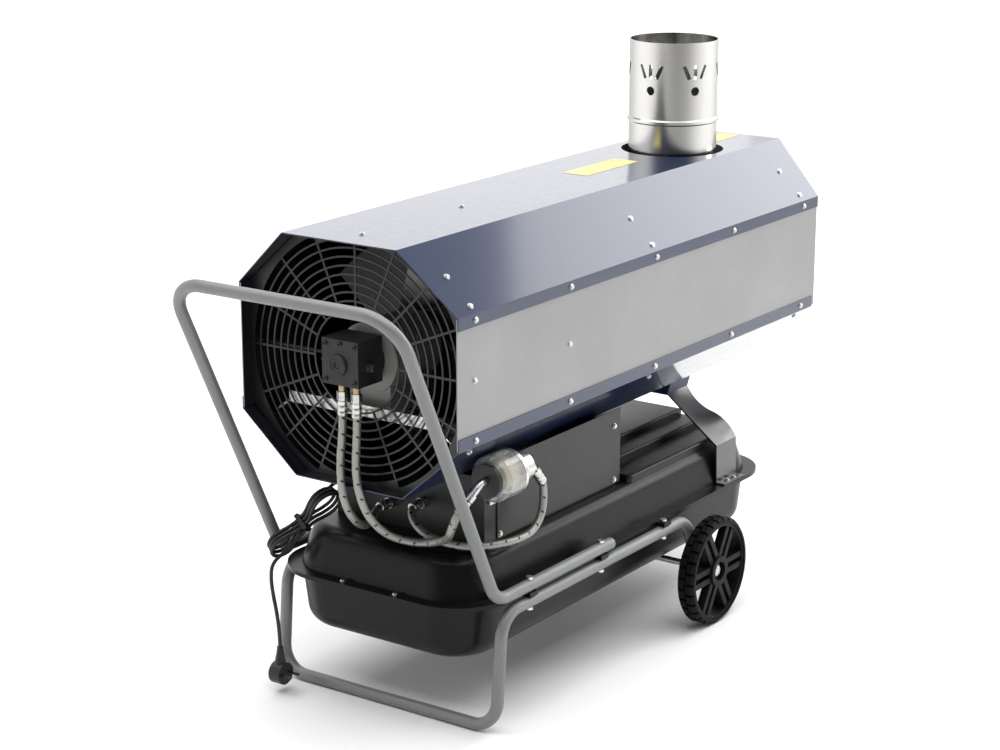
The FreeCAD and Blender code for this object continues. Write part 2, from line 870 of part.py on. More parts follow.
def make_nozzle_line(burner_x):
    """A rigid fuel pipe from the pump's side, past the fan's tips, to the nozzle."""
    side = (float(panel_inner) + float(D.fan_radius)) / 2
    pump_x = float(D.housing_front - D.front_overhang + D.pump_depth * 0.4)
    level = float(axis_z)
    points = [
        Vector(pump_x, float(D.pump_width) / 2, level),
        Vector(pump_x, float(D.guard_hole) * 0.7, level),
        Vector(float(guard_x) + 20, float(D.guard_hole) * 0.7, level),
        Vector(float(guard_x) + 20, side, level),
        Vector(burner_x, side, level),
        Vector(burner_x, float(D.nozzle_radius), level),
    ]
    bend = float(D.elbow_radius)
    line = sweep(bend_path(points, [bend] * 4), points[0], points[1] - points[0], float(D.elbow_radius) / 2)
    keep(feature("nozzle_line", line))


def strap_outline():
    """Section of the motor's strap: level in the middle, with ends that lean down to the lower slopes."""
    thickness = D.bar_sheet * math.sqrt(1 + BAR_LEG_SLOPE ** 2)
    across = D.housing_half_width - D.bottom_flat
    along = D.lower_corner - D.housing_bottom
    slope = along / across
    foot_y = D.bottom_flat
    foot_z = D.housing_bottom + D.shell_sheet * root(across * across + along * along) / across
    height = D.bar_level + D.bar_reach * BAR_LEG_SLOPE - foot_z + foot_y * slope
    low_end = height / (slope + BAR_LEG_SLOPE)
    high_end = (height + thickness) / (slope + BAR_LEG_SLOPE)
    right = [
        (D.bar_reach, D.bar_level), (low_end, foot_z + (low_end - foot_y) * slope),
        (high_end, foot_z + (high_end - foot_y) * slope),
        (D.bar_reach + (thickness - D.bar_sheet) / BAR_LEG_SLOPE, D.bar_level + D.bar_sheet),
    ]
    return right + [(-y, z) for y, z in reversed(right)]


def make_fan_drive():
    """Strap, motor on its foot, shaft, fan and pump coupling."""
    motor_x = D.housing_front + D.motor_set_back
    motor_end = motor_x + D.motor_length
    bar_x = motor_x - D.bar_lip
    lip = box("bar_front_lip", (bar_x, bar_x + D.bar_sheet), (-D.bar_reach, D.bar_reach),
              (D.bar_level, D.bar_level + D.bar_lip))
    strap = prism("bar_strap", "YZ_Plane", strap_outline(), bar_x, bar_x + D.bar_depth)
    keep(fuse("motor_bracket", [strap, lip]))
    can = cylinder("motor_can", D.motor_radius, D.motor_length, (motor_x, 0, axis_z), "x")
    foot = box("motor_foot", (motor_x + D.bar_sheet, bar_x + D.bar_depth + D.bar_lip),
               (-D.motor_foot_half_width, D.motor_foot_half_width), (D.bar_level + D.bar_sheet, axis_z))
    bore = cylinder("motor_bore", D.shaft_radius + D.shaft_gap, D.motor_length + 2,
                    (motor_x - 1, 0, axis_z), "x")
    keep(cut("fan_motor", fuse("motor_body", [can, foot]), [bore]))
    shaft_x = motor_x - D.pump_neck_length - D.coupling_radius
    fan_x = motor_end + D.pump_neck_length
    shaft_length = fan_x + D.fan_width - shaft_x
    collar = D.coupling_radius + D.pump_neck_length * 0.2
    collar_end = collar + D.pump_neck_length * 0.6
    shaft = [
        (0, 0), (D.shaft_radius, 0), (D.shaft_radius, collar), (D.coupling_radius, collar),
        (D.coupling_radius, collar_end), (D.shaft_radius, collar_end), (D.shaft_radius, shaft_length),
        (0, shaft_length),
    ]
    keep(turned("motor_shaft", shaft, (shaft_x, 0, axis_z), "x"))
    hub = Part.makeCylinder(float(D.fan_hub), float(D.fan_width), vector(fan_x, 0, axis_z), Vector(1, 0, 0))
    middle = vector(fan_x + D.fan_width / 2, 0, axis_z)
    chord = float(D.fan_blade_chord)
    sheet_half = float(D.fan_blade_sheet) / 2
    blades = []
    for count in range(FAN_BLADES):
        blade = Part.makeBox(sheet_half * 2, chord, float(D.fan_radius) * 1.1,
                             middle + Vector(-sheet_half, -chord / 2, float(D.fan_hub) * 0.7))
        blade.rotate(middle, Vector(0, 0, 1), float(D.fan_pitch_angle))
        blade.rotate(middle, Vector(1, 0, 0), 360 * count / FAN_BLADES + 15)
        blades.append(blade)
    reach = Part.makeCylinder(float(D.fan_radius), chord, middle - Vector(chord / 2, 0, 0), Vector(1, 0, 0))
    bore = Part.makeCylinder(float(D.shaft_radius + D.shaft_gap), chord * 2, middle - Vector(chord, 0, 0),
                             Vector(1, 0, 0))
    keep(feature("fan_impeller", hub.fuse(blades).common(reach).cut(bore)))


def make_pump():
    """Block of the fuel pump on the motor's nose, with nipples and nuts below for two hoses."""
    motor_x = D.housing_front + D.motor_set_back
    neck_x = motor_x - D.pump_neck_length
    half = D.pump_width / 2
    low = axis_z - D.pump_height * 0.4
    block = box("pump_block", (neck_x - D.pump_depth, neck_x), (-half, half), (low, low + D.pump_height))
    neck = cylinder("pump_nose", D.pump_neck, D.pump_neck_length, (neck_x, 0, axis_z), "x")
    room = cylinder("coupling_room", D.coupling_radius + 2, D.pump_neck_length + 1, (neck_x, 0, axis_z), "x")
    bore = cylinder("pump_bore", D.shaft_radius + D.shaft_gap, D.coupling_radius * 2,
                    (neck_x - D.coupling_radius - 1, 0, axis_z), "x")
    keep(cut("fuel_pump", fuse("pump_body", [block, neck]), [room, bore]))
    nipple_x = neck_x - D.pump_depth + D.nipple_inset
    nipples = []
    nuts = []
    for number, y in enumerate(hose_sides(), 1):
        nipples.append(cylinder(f"nipple_{number}", D.nipple_radius, D.nipple_length,
                                (nipple_x, y, low - D.nipple_length), "z"))
        nuts.append(hex_nut(f"nut_{number}", (nipple_x, y, low - D.nipple_length - D.nut_length)))
    keep(group("pump_nipples", nipples))
    return nuts, nipple_x, low - D.nipple_length - D.nut_length


def hose_sides():
    """Where the return and the suction hose leave the pump, across the heater."""
    half = D.nipple_pitch / 2
    return D.nipple_shift + half, D.nipple_shift - half


def hex_nut(name, at):
    obj = doc.addObject("Part::Prism", name)
    obj.Polygon = 6
    bind(obj, "Circumradius", D.nut_radius)
    bind(obj, "Height", D.nut_length)
    return place(obj, at)


def make_control_box(screw_holes):
    """Folded box on the tank that carries the housing, with its cover, inner units and control plate."""
    x_low = D.box_front
    x_high = box_end
    half = D.box_half_width
    skin = D.box_sheet
    outer = box("box_blank", (x_low, x_high), (-half, half), (tank_top, D.housing_bottom))
    inside = box("box_inside", (x_low + skin, x_high - skin), (skin - half, half - skin),
                 (tank_top + skin, D.housing_bottom + 1))
    edge = D.cover_window_edge
    window = box("box_window", (D.cover_front + edge, x_high - edge), (-half - 1, skin - half + 1),
                 (tank_top + edge, D.housing_bottom - edge))
    plate_x = x_low + (D.box_length - D.plate_length) / 2
    plate_z = (tank_top + D.housing_bottom - D.plate_height) / 2
    middle_z = plate_z + D.plate_height / 2
    knob_at = (plate_x + D.plate_length * 0.25, middle_z)
    button_at = (plate_x + D.plate_length * 0.55, middle_z)
    lamp_at = (plate_x + D.plate_length * 0.8, middle_z)
    face = half + D.plate_sheet
    depth = D.box_sheet + D.plate_sheet + 2
    holes = []
    for label, radius, (x, z) in (("knob", D.knob_shaft + D.shaft_gap, knob_at),
                                  ("button", D.button_radius + D.shaft_gap * 2, button_at),
                                  ("lamp", D.lamp_radius + D.shaft_gap, lamp_at)):
        holes.append(cylinder(f"{label}_hole", radius, depth, (x, half - skin - 1, z), "y"))
    keep(cut("control_box", outer, [inside, window, screw_holes] + holes))
    cover = box("cover_sheet", (D.cover_front, x_high + D.cover_lap), (-half - skin, -half),
                (tank_top + D.cover_foot, D.cover_top))
    keep(cut("control_box_cover", cover, [screw_holes]))
    plate = box("plate_sheet_blank", (plate_x, plate_x + D.plate_length), (half, face),
                (plate_z, plate_z + D.plate_height))
    keep(cut("control_plate", plate, holes))
    stem = D.plate_sheet + skin + D.knob_shaft
    rest = D.fit_gap + 0.2
    knob = [
        (0, -stem), (D.knob_shaft, -stem), (D.knob_shaft, rest), (D.knob_radius, rest),
        (D.knob_radius, D.knob_length * 0.3), (D.knob_radius * 0.9, D.knob_length), (0, D.knob_length),
    ]
    keep(turned("selector_knob", knob, (knob_at[0], face, knob_at[1]), "y"))
    tail = D.button_length / 2
    button = [
        (0, -tail), (D.button_radius, -tail), (D.button_radius, D.button_travel * 2),
        (D.button_radius - 1, D.button_travel * 2 + 1), (0, D.button_travel * 2 + 1),
    ]
    keep(turned("reset_button", button, (button_at[0], face, button_at[1]), "y"))
    lamp = [
        (0, -stem), (D.lamp_radius, -stem), (D.lamp_radius, 0), (D.lamp_radius + 2, 0),
        (D.lamp_radius + 2, 1.5), (D.lamp_radius * 0.7, D.lamp_radius * 0.7), (0, D.lamp_radius),
    ]
    keep(turned("pilot_lamp", lamp, (lamp_at[0], face, lamp_at[1]), "y"))
    floor = tank_top + skin
    room = D.housing_bottom - floor
    keep(box("control_unit", (x_low + D.box_length * 0.15, x_low + D.box_length * 0.45),
             (-half * 0.7, -half * 0.2), (floor, floor + room * 0.55)))
    keep(box("ignition_transformer", (x_low + D.box_length * 0.55, x_low + D.box_length * 0.8),
             (-half * 0.7, -half * 0.1), (floor, floor + room * 0.65)))


def cover_screw_places():
    """Two screws up the cover's rear edge and one at its front foot."""
    y = float(-D.box_half_width - D.box_sheet)
    inset = float(D.cover_window_edge) / 2
    front = float(D.cover_front) + inset
    rear = float(box_end) - inset
    low = float(tank_top) + inset + float(D.cover_foot)
    high = float(D.housing_bottom) - inset
    return [(Vector(x, y, z), Vector(0, -1, 0)) for x, z in ((rear, high), (rear, low), (front, low))]


def tank_form(name, shrink, height, inset, corner, edge_round, upward):
    """A tank half's rounded form: a wedge from the flange, drawn in at its far face."""
    low = D.tank_front + D.flange_width + shrink
    high = D.tank_front + D.tank_length - D.flange_width - shrink
    half = D.tank_half_width - D.flange_width - shrink
    wedge = doc.addObject("Part::Wedge", f"{name}_wedge")
    for label, value in (("Xmin", low), ("Xmax", high), ("X2min", low + inset), ("X2max", high - inset),
                         ("Zmin", -half), ("Zmax", half), ("Z2min", inset - half), ("Z2max", half - inset),
                         ("Ymin", 0), ("Ymax", height)):
        bind(wedge, label, value)
    base = flange_top if upward else flange_low
    place(wedge, (0, 0, base), AXES["-y" if upward else "y"])
    far = base + height if upward else base - height
    sides = rounded(f"{name}_sides", wedge, rising, corner)
    return rounded(name, sides, level_with(far), edge_round)


def flange_plate(name, low, high):
    """One half's flange with the ears that the frame bolts pass through."""
    blank = box(f"{name}_blank", (D.tank_front, D.tank_front + D.tank_length),
                (-D.tank_half_width, D.tank_half_width), (low, high))
    pieces = [rounded(f"{name}_rounded", blank, rising, D.flange_corner)]
    ear_reach = D.frame_half_width + D.ear_margin
    for number, x in enumerate((D.first_bolt, D.second_bolt, D.third_bolt), 1):
        pieces.append(box(f"{name}_ear_{number}", (x - D.ear_width / 2, x + D.ear_width / 2),
                          (-ear_reach, ear_reach), (low, high)))
    return pieces


def make_tank(bolt_holes, screw_holes):
    """Two pressed halves that meet at the flange, with the filler, gauge and drain."""
    step = box("step_blank", (step_front, D.step_end),
               (-D.step_half_width, D.step_half_width), (tank_top - D.tank_top_round * 0.7, step_top))
    step_sides = rounded("step_sides", step, rising, D.step_rise)
    steps = [rounded("step_form", step_sides, level_with(step_top), D.step_rise / 2)]
    ridge_x = (step_front + D.step_rise, D.step_end - D.step_rise)
    for label, half, low, high in (("ridge", D.ridge_half_width, step_top, ridge_top),
                                   ("crest", D.crest_half_width, ridge_top, crest_top)):
        blank = box(f"{label}_blank", ridge_x, (-half, half), (low - 1, high))
        steps.append(rounded(f"{label}_form", blank, level_with(high), D.step_rise / 3))
    wall = D.tank_wall
    hollow_x = (ridge_x[0] + wall, ridge_x[1] - wall)
    hollows = []
    for label, half, low, high in (("step", D.step_half_width - D.step_rise, tank_top, step_top),
                                   ("ridge", D.ridge_half_width, step_top, ridge_top),
                                   ("crest", D.crest_half_width, ridge_top, crest_top)):
        hollows.append(box(f"{label}_hollow", hollow_x, (wall - half, half - wall),
                           (low - wall - 1, high - wall)))
    dome = tank_form("upper_form", 0, D.tank_rise, D.tank_top_inset, D.tank_corner, D.tank_top_round, True)
    cavity = tank_form("upper_cavity", D.tank_wall, D.tank_rise - D.tank_wall, D.tank_top_inset,
                       D.tank_corner - D.tank_wall, D.tank_top_round - D.tank_wall, True)
    mouth_low = box("upper_mouth", (D.tank_front + D.flange_width * 3, D.tank_front + D.tank_length
                                    - D.flange_width * 3),
                    (D.flange_width * 3 - D.tank_half_width, D.tank_half_width - D.flange_width * 3),
                    (seam_z - 1, flange_top + 1))
    filler_bore = cylinder("filler_bore", D.filler_radius - D.filler_wall, D.tank_rise,
                           (filler_x, D.filler_y, step_top - D.tank_rise + 1), "z")
    upper_form = fuse("upper_solid", [dome] + steps)
    upper = fuse("upper_blank", flange_plate("upper_flange", seam_z, flange_top) + [upper_form])
    keep(cut("tank_upper", upper, [cavity, mouth_low, filler_bore, bolt_holes, screw_holes] + hollows))
    basin = tank_form("lower_form", 0, D.tank_depth, D.tank_bottom_inset, D.tank_corner,
                      D.tank_bottom_round, False)
    pool = tank_form("lower_cavity", D.tank_wall, D.tank_depth - D.tank_wall, D.tank_bottom_inset,
                     D.tank_corner - D.tank_wall, D.tank_bottom_round - D.tank_wall, False)
    mouth_high = box("lower_mouth", (D.tank_front + D.flange_width * 3, D.tank_front + D.tank_length
                                     - D.flange_width * 3),
                     (D.flange_width * 3 - D.tank_half_width, D.tank_half_width - D.flange_width * 3),
                     (flange_low - 1, seam_z + 1))
    lower = fuse("lower_blank", flange_plate("lower_flange", flange_low, seam_z) + [basin])
    keep(cut("tank_lower", lower, [pool, mouth_high, bolt_holes, screw_holes]))
    make_tank_fittings()
    return upper_form


def tank_screw_places():
    """Flange screws at the ends of the tank, and the saddle's foot screws."""
    up = Vector(0, 0, 1)
    level = float(flange_top)
    inset = D.flange_width / 2
    ends = (float(D.tank_front + inset), float(D.tank_front + D.tank_length - inset))
    places = [(Vector(x, side * float(D.ridge_half_width) / 2, level), up) for x in ends for side in (-1, 1)]
    foot_y = float(D.skirt_y + D.saddle_foot / 2)
    third = float(D.saddle_width) / 3
    for share in (1, 2):
        for side in (-1, 1):
            at = Vector(float(saddle_front) + third * share, side * foot_y, level + float(D.saddle_sheet))
            places.append((at, up))
    return places


def make_tank_fittings():
    at = (filler_x, D.filler_y, step_top)
    inner = D.filler_radius - D.filler_wall
    keep(ring("filler_neck", inner, D.filler_radius, D.filler_height, at, "z"))
    lip = D.filler_radius + D.fit_gap
    top = D.filler_height + D.fit_gap
    cap = [
        (0, top), (lip, top), (lip, top - D.cap_skirt), (D.cap_radius, top - D.cap_skirt),
        (D.cap_radius, top + D.cap_height * 0.7), (D.cap_radius * 0.9, top + D.cap_height),
        (0, top + D.cap_height),
    ]
    keep(turned("filler_cap", cap, at, "z"))
    gauge = [
        (0, 0), (D.gauge_radius, 0), (D.gauge_radius, D.step_rise * 0.6),
        (D.gauge_radius * 0.6, D.step_rise * 1.2), (0, D.step_rise * 1.4),
    ]
    keep(turned("level_gauge", gauge, (filler_x - D.gauge_offset, D.filler_y, step_top), "z"))
    bottom = flange_low - D.tank_depth
    drain = [(0, 0), (D.drain_radius, 0), (D.drain_radius, D.drain_length), (0, D.drain_length)]
    keep(turned("drain_plug", drain, (D.first_bolt, 0, bottom), "-z"))


def saddle_outline(x, inset, drop, sag):
    """The saddle's section at x: a flat top, a slope or an ogee to each shoulder, and skirts."""
    half = float(D.saddle_flat)
    top = float(D.saddle_top) - inset
    shoulder = Vector(x, float(D.shoulder_y) - inset, float(D.shoulder_z) - inset)
    crown = Vector(x, half, top)
    middle = (crown + shoulder) * 0.5
    slope = (shoulder - crown).normalize()
    bulge = Vector(0, -slope.z, slope.y) * sag
    hem = Vector(x, float(D.skirt_y) - inset, float(flange_top) - drop)

    def across(point):
        return Vector(point.x, -point.y, point.z)

    def curve(first, bow, last):
        return Part.Arc(first, bow, last) if sag else Part.LineSegment(first, last)

    inner_bow = (crown + middle) * 0.5 - bulge
    outer_bow = (middle + shoulder) * 0.5 + bulge
    edges = [
        Part.LineSegment(across(crown), crown),
        curve(crown, inner_bow, middle),
        curve(middle, outer_bow, shoulder),
        Part.LineSegment(shoulder, hem),
        Part.LineSegment(hem, across(hem)),
        Part.LineSegment(across(hem), across(shoulder)),
        curve(across(shoulder), across(outer_bow), across(middle)),
        curve(across(middle), across(inner_bow), across(crown)),
    ]
    return Part.Wire([edge.toShape() for edge in edges])


def saddle_form(inset, drop, run_out):
    """The saddle runs from a straight slope at its front to an ogee at its rear."""
    front = float(saddle_front) - run_out
    rear = float(saddle_front + D.saddle_width) + run_out
    return Part.makeLoft([saddle_outline(front, inset, drop, 0),
                          saddle_outline(rear, inset, drop, float(D.saddle_sag))], True, True)


def make_saddle(upper_form, screw_holes):
    """Formed rear support: a bent strip over the tank, open front and rear, with feet on the flange."""
    outer = saddle_form(0, 0, 0)
    inner = saddle_form(float(D.saddle_sheet), 1, 1)
    cover = feature("saddle_cover", outer.cut(inner))
    pieces = [cover]
    for label, side in (("right", -1), ("left", 1)):
        ends = (D.skirt_y * side - side, (D.skirt_y + D.saddle_foot) * side)
        low, high = ends if side > 0 else ends[::-1]
        pieces.append(box(f"saddle_foot_{label}", (saddle_front, saddle_front + D.saddle_width),
                          (low, high), (flange_top, flange_top + D.saddle_sheet)))
    keep(cut("rear_saddle", fuse("saddle_blank", pieces), [upper_form, screw_holes]))
    narrow = D.saddle_flat
    wide = D.saddle_flat + D.block_flare
    outline = [(-narrow, D.saddle_top), (narrow, D.saddle_top), (wide, D.housing_bottom),
               (-wide, D.housing_bottom)]
    keep(prism("saddle_block", "YZ_Plane", outline, saddle_front, saddle_front + D.saddle_width))


def frame_bolts():
    """Bolts through handle rail, flange ears and leg rail; the rear pair clamps the leg rail alone."""
    solids = []
    holes = []
    radius = float(D.bolt_radius)
    head = float(D.bolt_head)
    height = float(D.bolt_head_height)
    up = Vector(0, 0, 1)
    low = float(D.leg_rail_z - D.tube_radius)
    handle_top = float(handle_rail_z + D.tube_radius)
    stations = ((D.first_bolt, handle_top), (D.second_bolt, handle_top), (D.third_bolt, float(flange_top)))
    for x, top in stations:
        for side in (-1, 1):
            base = Vector(float(x), side * float(D.frame_half_width), low)
            shank = Part.makeCylinder(radius, top - low, base, up)
            cap = Part.makeCylinder(head, height, base + up * (top - low), up)
            nut = Part.makeCylinder(head, height, base - up * height, up)
            solids.append(shank.fuse([cap, nut]).removeSplitter())
            holes.append(Part.makeCylinder(radius + float(D.bolt_gap), top - low + 4 * height,
                                           base - up * 2 * height, up))
    keep(feature("frame_bolts", Part.makeCompound(solids)))
    return feature("frame_bolt_holes", Part.makeCompound(holes))


def make_frame(bolt_holes):
    """Handle and leg frame bent from tube, with the caps in the handle's ends and the axle."""
    half = float(D.frame_half_width)
    corner_x = float(D.handle_corner)
    rail_z = float(handle_rail_z)
    bar = Vector(corner_x - float(D.handle_reach), -half, rail_z + float(D.handle_rise))

    def mirrored(points):
        return points + [Vector(point.x, -point.y, point.z) for point in reversed(points)]

    handle = mirrored([vector(D.handle_rail_end, -half, rail_z), Vector(corner_x, -half, rail_z), bar])
    low_bend = float(D.handle_low_bend)
    top_bend = float(D.handle_top_bend)
    tube = bent_tube(handle, [low_bend, top_bend, top_bend, low_bend], D.tube_radius, D.tube_wall)
    keep(cut("handle_tube", feature("handle_blank", tube), [bolt_holes]))
    caps = []
    for label, side in (("right", -1), ("left", 1)):
        plug = D.tube_radius - D.tube_wall - D.fit_gap
        profile = [(0, -D.tube_radius), (plug, -D.tube_radius), (plug, 0), (D.tube_radius, 0),
                   (D.tube_radius * 0.85, D.cap_lip), (0, D.cap_lip)]
        caps.append(turned(f"tube_cap_{label}", profile,
                           (D.handle_rail_end, D.frame_half_width * side, handle_rail_z), "x"))
    keep(group("tube_caps", caps))
    wheel_z = float(D.wheel_radius)
    axle = Vector(float(D.axle_x), -half, wheel_z)
    rear = Vector(float(D.axle_x - D.leg_rear_run), -half, float(D.leg_rail_z))
    tail = axle + (axle - rear).normalize() * float(D.axle_tail)
    front_x = float(D.leg_front)
    foot = Vector(front_x - float(D.leg_lean), -half, float(D.tube_radius))
    leg = mirrored([tail, rear, Vector(front_x, -half, float(D.leg_rail_z)), foot])
    tube = bent_tube(leg, [float(D.leg_bend)] * 6, D.tube_radius, D.tube_wall)
    axle_start = (D.axle_x, -axle_half_length, D.wheel_radius)
    bore = cylinder("axle_holes", D.axle_radius + D.fit_gap, axle_half_length * 2, axle_start, "y")
    keep(cut("leg_frame", feature("leg_blank", tube), [bolt_holes, bore]))
    return cylinder("axle_bar", D.axle_radius, axle_half_length * 2, axle_start, "y")


def make_wheels(axle):
    """Spoked rims with treaded tyres; washers run inside and caps in the hubs hold them on the axle."""
    inner_face = D.frame_half_width + D.tube_radius + D.washer_sheet + D.fit_gap * 2
    retainers = [axle]
    for label, side, axis in (("right", -1, "-y"), ("left", 1, "y")):
        at = (D.axle_x, inner_face * side, D.wheel_radius)
        retainers.append(ring(f"washer_{label}", D.axle_radius + D.fit_gap, D.washer_radius, D.washer_sheet,
                              (D.axle_x, (D.frame_half_width + D.tube_radius + D.fit_gap) * side,
                               D.wheel_radius), axis))
        depth = D.washer_sheet
        end = inner_face + D.wheel_width - D.hub_recess + D.fit_gap
        reach = axle_half_length - end + D.fit_gap
        cap = [(D.axle_radius + D.fit_gap, 0), (D.washer_radius, 0), (D.washer_radius, depth),
               (D.washer_radius * 0.7, depth + 1.5), (0, depth + 1.5), (0, reach),
               (D.axle_radius + D.fit_gap, reach)]
        retainers.append(turned(f"axle_cap_{label}", cap, (D.axle_x, end * side, D.wheel_radius), axis))
        make_wheel(label, at, axis)
    keep(group("axle_set", retainers))


def make_wheel(label, at, axis):
    width = D.wheel_width
    rim = ring(f"rim_ring_{label}", D.rim_radius - D.rim_ring, D.rim_radius, width - 2, at, axis)
    floor = ring(f"hub_floor_{label}", D.axle_radius + D.shaft_gap, D.hub_radius, width - D.hub_recess, at,
                 axis)
    hub = ring(f"hub_{label}", D.recess_radius, D.hub_radius, width, at, axis)
    low_face = float(width - D.spoke_inset - D.spoke_depth)
    start = float(D.recess_radius + D.hub_radius) / 2
    bars = []
    for count in range(SPOKE_PAIRS):
        for offset in (-0.5, 0.5):
            low = offset * float(D.spoke_pitch) - float(D.spoke_width) / 2
            bar = Part.makeBox(float(D.rim_radius - D.rim_ring / 2) - start, float(D.spoke_width),
                               float(D.spoke_depth), Vector(start, low, low_face))
            bar.rotate(Vector(), Vector(0, 0, 1), 360 * count / SPOKE_PAIRS)
            bars.append(bar)
    spokes = doc.addObject("Part::Feature", f"spokes_{label}")
    spokes.Shape = bars[0].fuse(bars[1:])
    place(spokes, at, AXES[axis])
    keep(fuse(f"wheel_{label}", [rim, floor, hub, spokes]))
    seat = D.rim_radius + D.shaft_gap
    edge = D.tyre_shoulder
    outer = D.wheel_radius
    profile = [(seat, 0), (outer - edge, 0), (outer, edge), (outer, width - edge), (outer - edge, width),
               (seat, width)]
    carcass = turned(f"carcass_{label}", profile, at, axis)
    depth = float(D.tread_depth)
    gap = float(D.tread_gap)
    half = float(width) / 2
    tools = [Part.makeCylinder(float(outer) + 1, gap / 2, Vector(0, 0, half - gap / 4)).cut(
        Part.makeCylinder(float(outer) - depth, gap, Vector(0, 0, half - gap / 2)))]
    for count in range(TREAD_BLOCKS):
        for low, high, phase in ((-1, half - gap / 4, 0.5), (half + gap / 4, float(width) + 1, 0)):
            notch = Part.makeBox(depth + 2, gap, high - low, Vector(float(outer) - depth, -gap / 2, low))
            notch.rotate(Vector(), Vector(0, 0, 1), 360 * (count + phase) / TREAD_BLOCKS)
            tools.append(notch)
    grooves = doc.addObject("Part::Feature", f"tread_grooves_{label}")
    grooves.Shape = Part.makeCompound(tools)
    place(grooves, at, AXES[axis])
    keep(cut(f"tyre_{label}", carcass, [grooves]))


def make_filter():
    """Fuel filter lying along X under the lower shell: ring nut, clear bowl, element and head."""
    x, y, z = D.filter_x, D.filter_y, D.filter_z
    keep(ring("filter_ring", D.elbow_radius + D.shaft_gap, D.ring_radius, D.ring_length,
              (x - D.ring_length, y, z), "x"))
    wall = D.bowl_wall
    hole = D.elbow_radius + D.shaft_gap
    bowl = [
        (hole, 0), (D.bowl_radius * 0.75, 0), (D.bowl_radius, D.bowl_radius * 0.25),
        (D.bowl_radius, D.bowl_length), (D.bowl_radius - wall, D.bowl_length),
        (D.bowl_radius - wall, D.bowl_radius * 0.25 + wall), (D.bowl_radius * 0.75 - wall, wall),
        (hole, wall),
    ]
    keep(turned("filter_bowl", bowl, (x, y, z), "x"))
    head_x = x + D.bowl_length
    slack = D.bowl_length - D.element_length
    keep(ring("filter_element", D.elbow_radius, D.element_radius, D.element_length, (x + slack, y, z), "x"))
    lid = [(0, 0), (D.bowl_radius, 0), (D.bowl_radius, D.bowl_wall * 3), (D.head_radius, D.bowl_wall * 4),
           (D.head_radius, D.head_length), (0, D.head_length)]
    lid_body = turned("head_casting", lid, (head_x, y, z), "x")
    under = z - D.head_radius
    bracket_x = (D.box_front + D.bracket_width / 2, D.cover_front - D.bracket_sheet)
    shelf = box("head_shelf", bracket_x, (y, -D.box_half_width),
                (under - D.bracket_sheet, under + D.bracket_sheet / 2))
    bracket = box("head_bracket", bracket_x, (-D.box_half_width - D.bracket_sheet, -D.box_half_width),
                  (under - D.bracket_width * 2, under))
    keep(fuse("filter_head", [lid_body, shelf, bracket]))
    ends = []
    elbows = []
    run = float(D.elbow_run)
    bend = float(D.elbow_bend)
    reach = float(D.ring_length)
    ports = ((-1, float(x) + float(wall), 0.35), (1, float(head_x + D.head_length), 0))
    for direction, start_x, inward in ports:
        face_x = start_x if direction > 0 else start_x - float(wall) - reach
        start = Vector(start_x, float(y), float(z))
        corner = Vector(face_x + direction * run, float(y), float(z))
        heading = Vector(direction, inward, -1).normalize()
        end = corner + heading * bend
        path = bend_path([start, corner, end], [bend])
        elbow = sweep(path, start, Vector(direction, 0, 0), D.elbow_radius)
        collar = Part.makeCylinder(float(D.nut_radius), float(D.union_length), end, heading)
        elbows.append(elbow.fuse(collar).removeSplitter())
        ends.append((end + heading * float(D.union_length), heading))
    keep(feature("filter_elbows", Part.makeCompound(elbows)))
    return ends


def make_hoses(pump_ports, filter_ends):
    """Braided hoses: pump to tank return, filter to pump suction, tank to filter feed."""
    nuts, nipple_x, port_z = pump_ports
    return_y, suction_y = hose_sides()
    box_x = float(D.box_front - D.union_length)
    level = float(tank_top)
    drop = Vector(0, 0, -44)
    last_run = Vector(-22, 0, 0)
    return_end = Vector(box_x, 34, level + 40)
    feed_end = Vector(box_x, -30, level + 52)
    unions = []
    for number, end in enumerate((return_end, feed_end), 1):
        unions.append(cylinder(f"box_union_{number}", D.nut_radius, D.union_length, tuple(end), "x"))
    keep(group("hose_unions", nuts + unions))
    top = vector(nipple_x, return_y, port_z)
    hanging_tube("return_hose", [
        top, top + drop, Vector(-509, 8, 440), Vector(-509, 7, 396), Vector(-502, 3, 360),
        Vector(-483, 1, 333), Vector(-455, 6, 317), Vector(-427, 17, 312), Vector(-402, 28, 317),
        return_end + last_run, return_end,
    ], D.hose_diameter)
    top = vector(nipple_x, suction_y, port_z)
    end, heading = filter_ends[0]
    hanging_tube("suction_hose", [
        top, top + drop, Vector(-509, -22, 440), Vector(-507, -23, 403), Vector(-498, -27, 366),
        Vector(-482, -36, 335), Vector(-458, -48, 311), Vector(-434, -66, 299), Vector(-420, -92, 298),
        Vector(-424, -122, 308), Vector(-441, -148, 323), Vector(-457, -164, 342), end + heading * 24, end,
    ], D.hose_diameter)
    end, heading = filter_ends[1]
    hanging_tube("feed_hose", [
        end, end + heading * 24, Vector(-236, -187, 349), Vector(-240, -188, 324), Vector(-254, -189, 304),
        Vector(-277, -189, 292), Vector(-308, -188, 291), Vector(-340, -179, 291), Vector(-371, -160, 291),
        Vector(-394, -131, 293), Vector(-405, -98, 300), Vector(-407, -70, 309), Vector(-398, -45, 322),
        feed_end + last_run, feed_end,
    ], D.hose_diameter)


def biarc_edges(points, ways):
    """Two tangent arcs between each pair of points, which leave and arrive along the given ways."""
    edges = []
    for start, end, way_out, way_in in zip(points, points[1:], ways, ways[1:]):
        chord = end - start
        both = way_out + way_in
        square = 2 * (1 - way_out.dot(way_in))
        along = chord.dot(both)
        if square < 1e-9:
            reach = chord.dot(chord) / (2 * along)
        else:
            reach = (math.sqrt(along ** 2 + square * chord.dot(chord)) - along) / square
        joint = (start + way_out * reach + end - way_in * reach) * 0.5
        edges.append(arc_from(start, joint, way_out))
        edges.append(arc_from(end, joint, way_in * -1))
    return edges


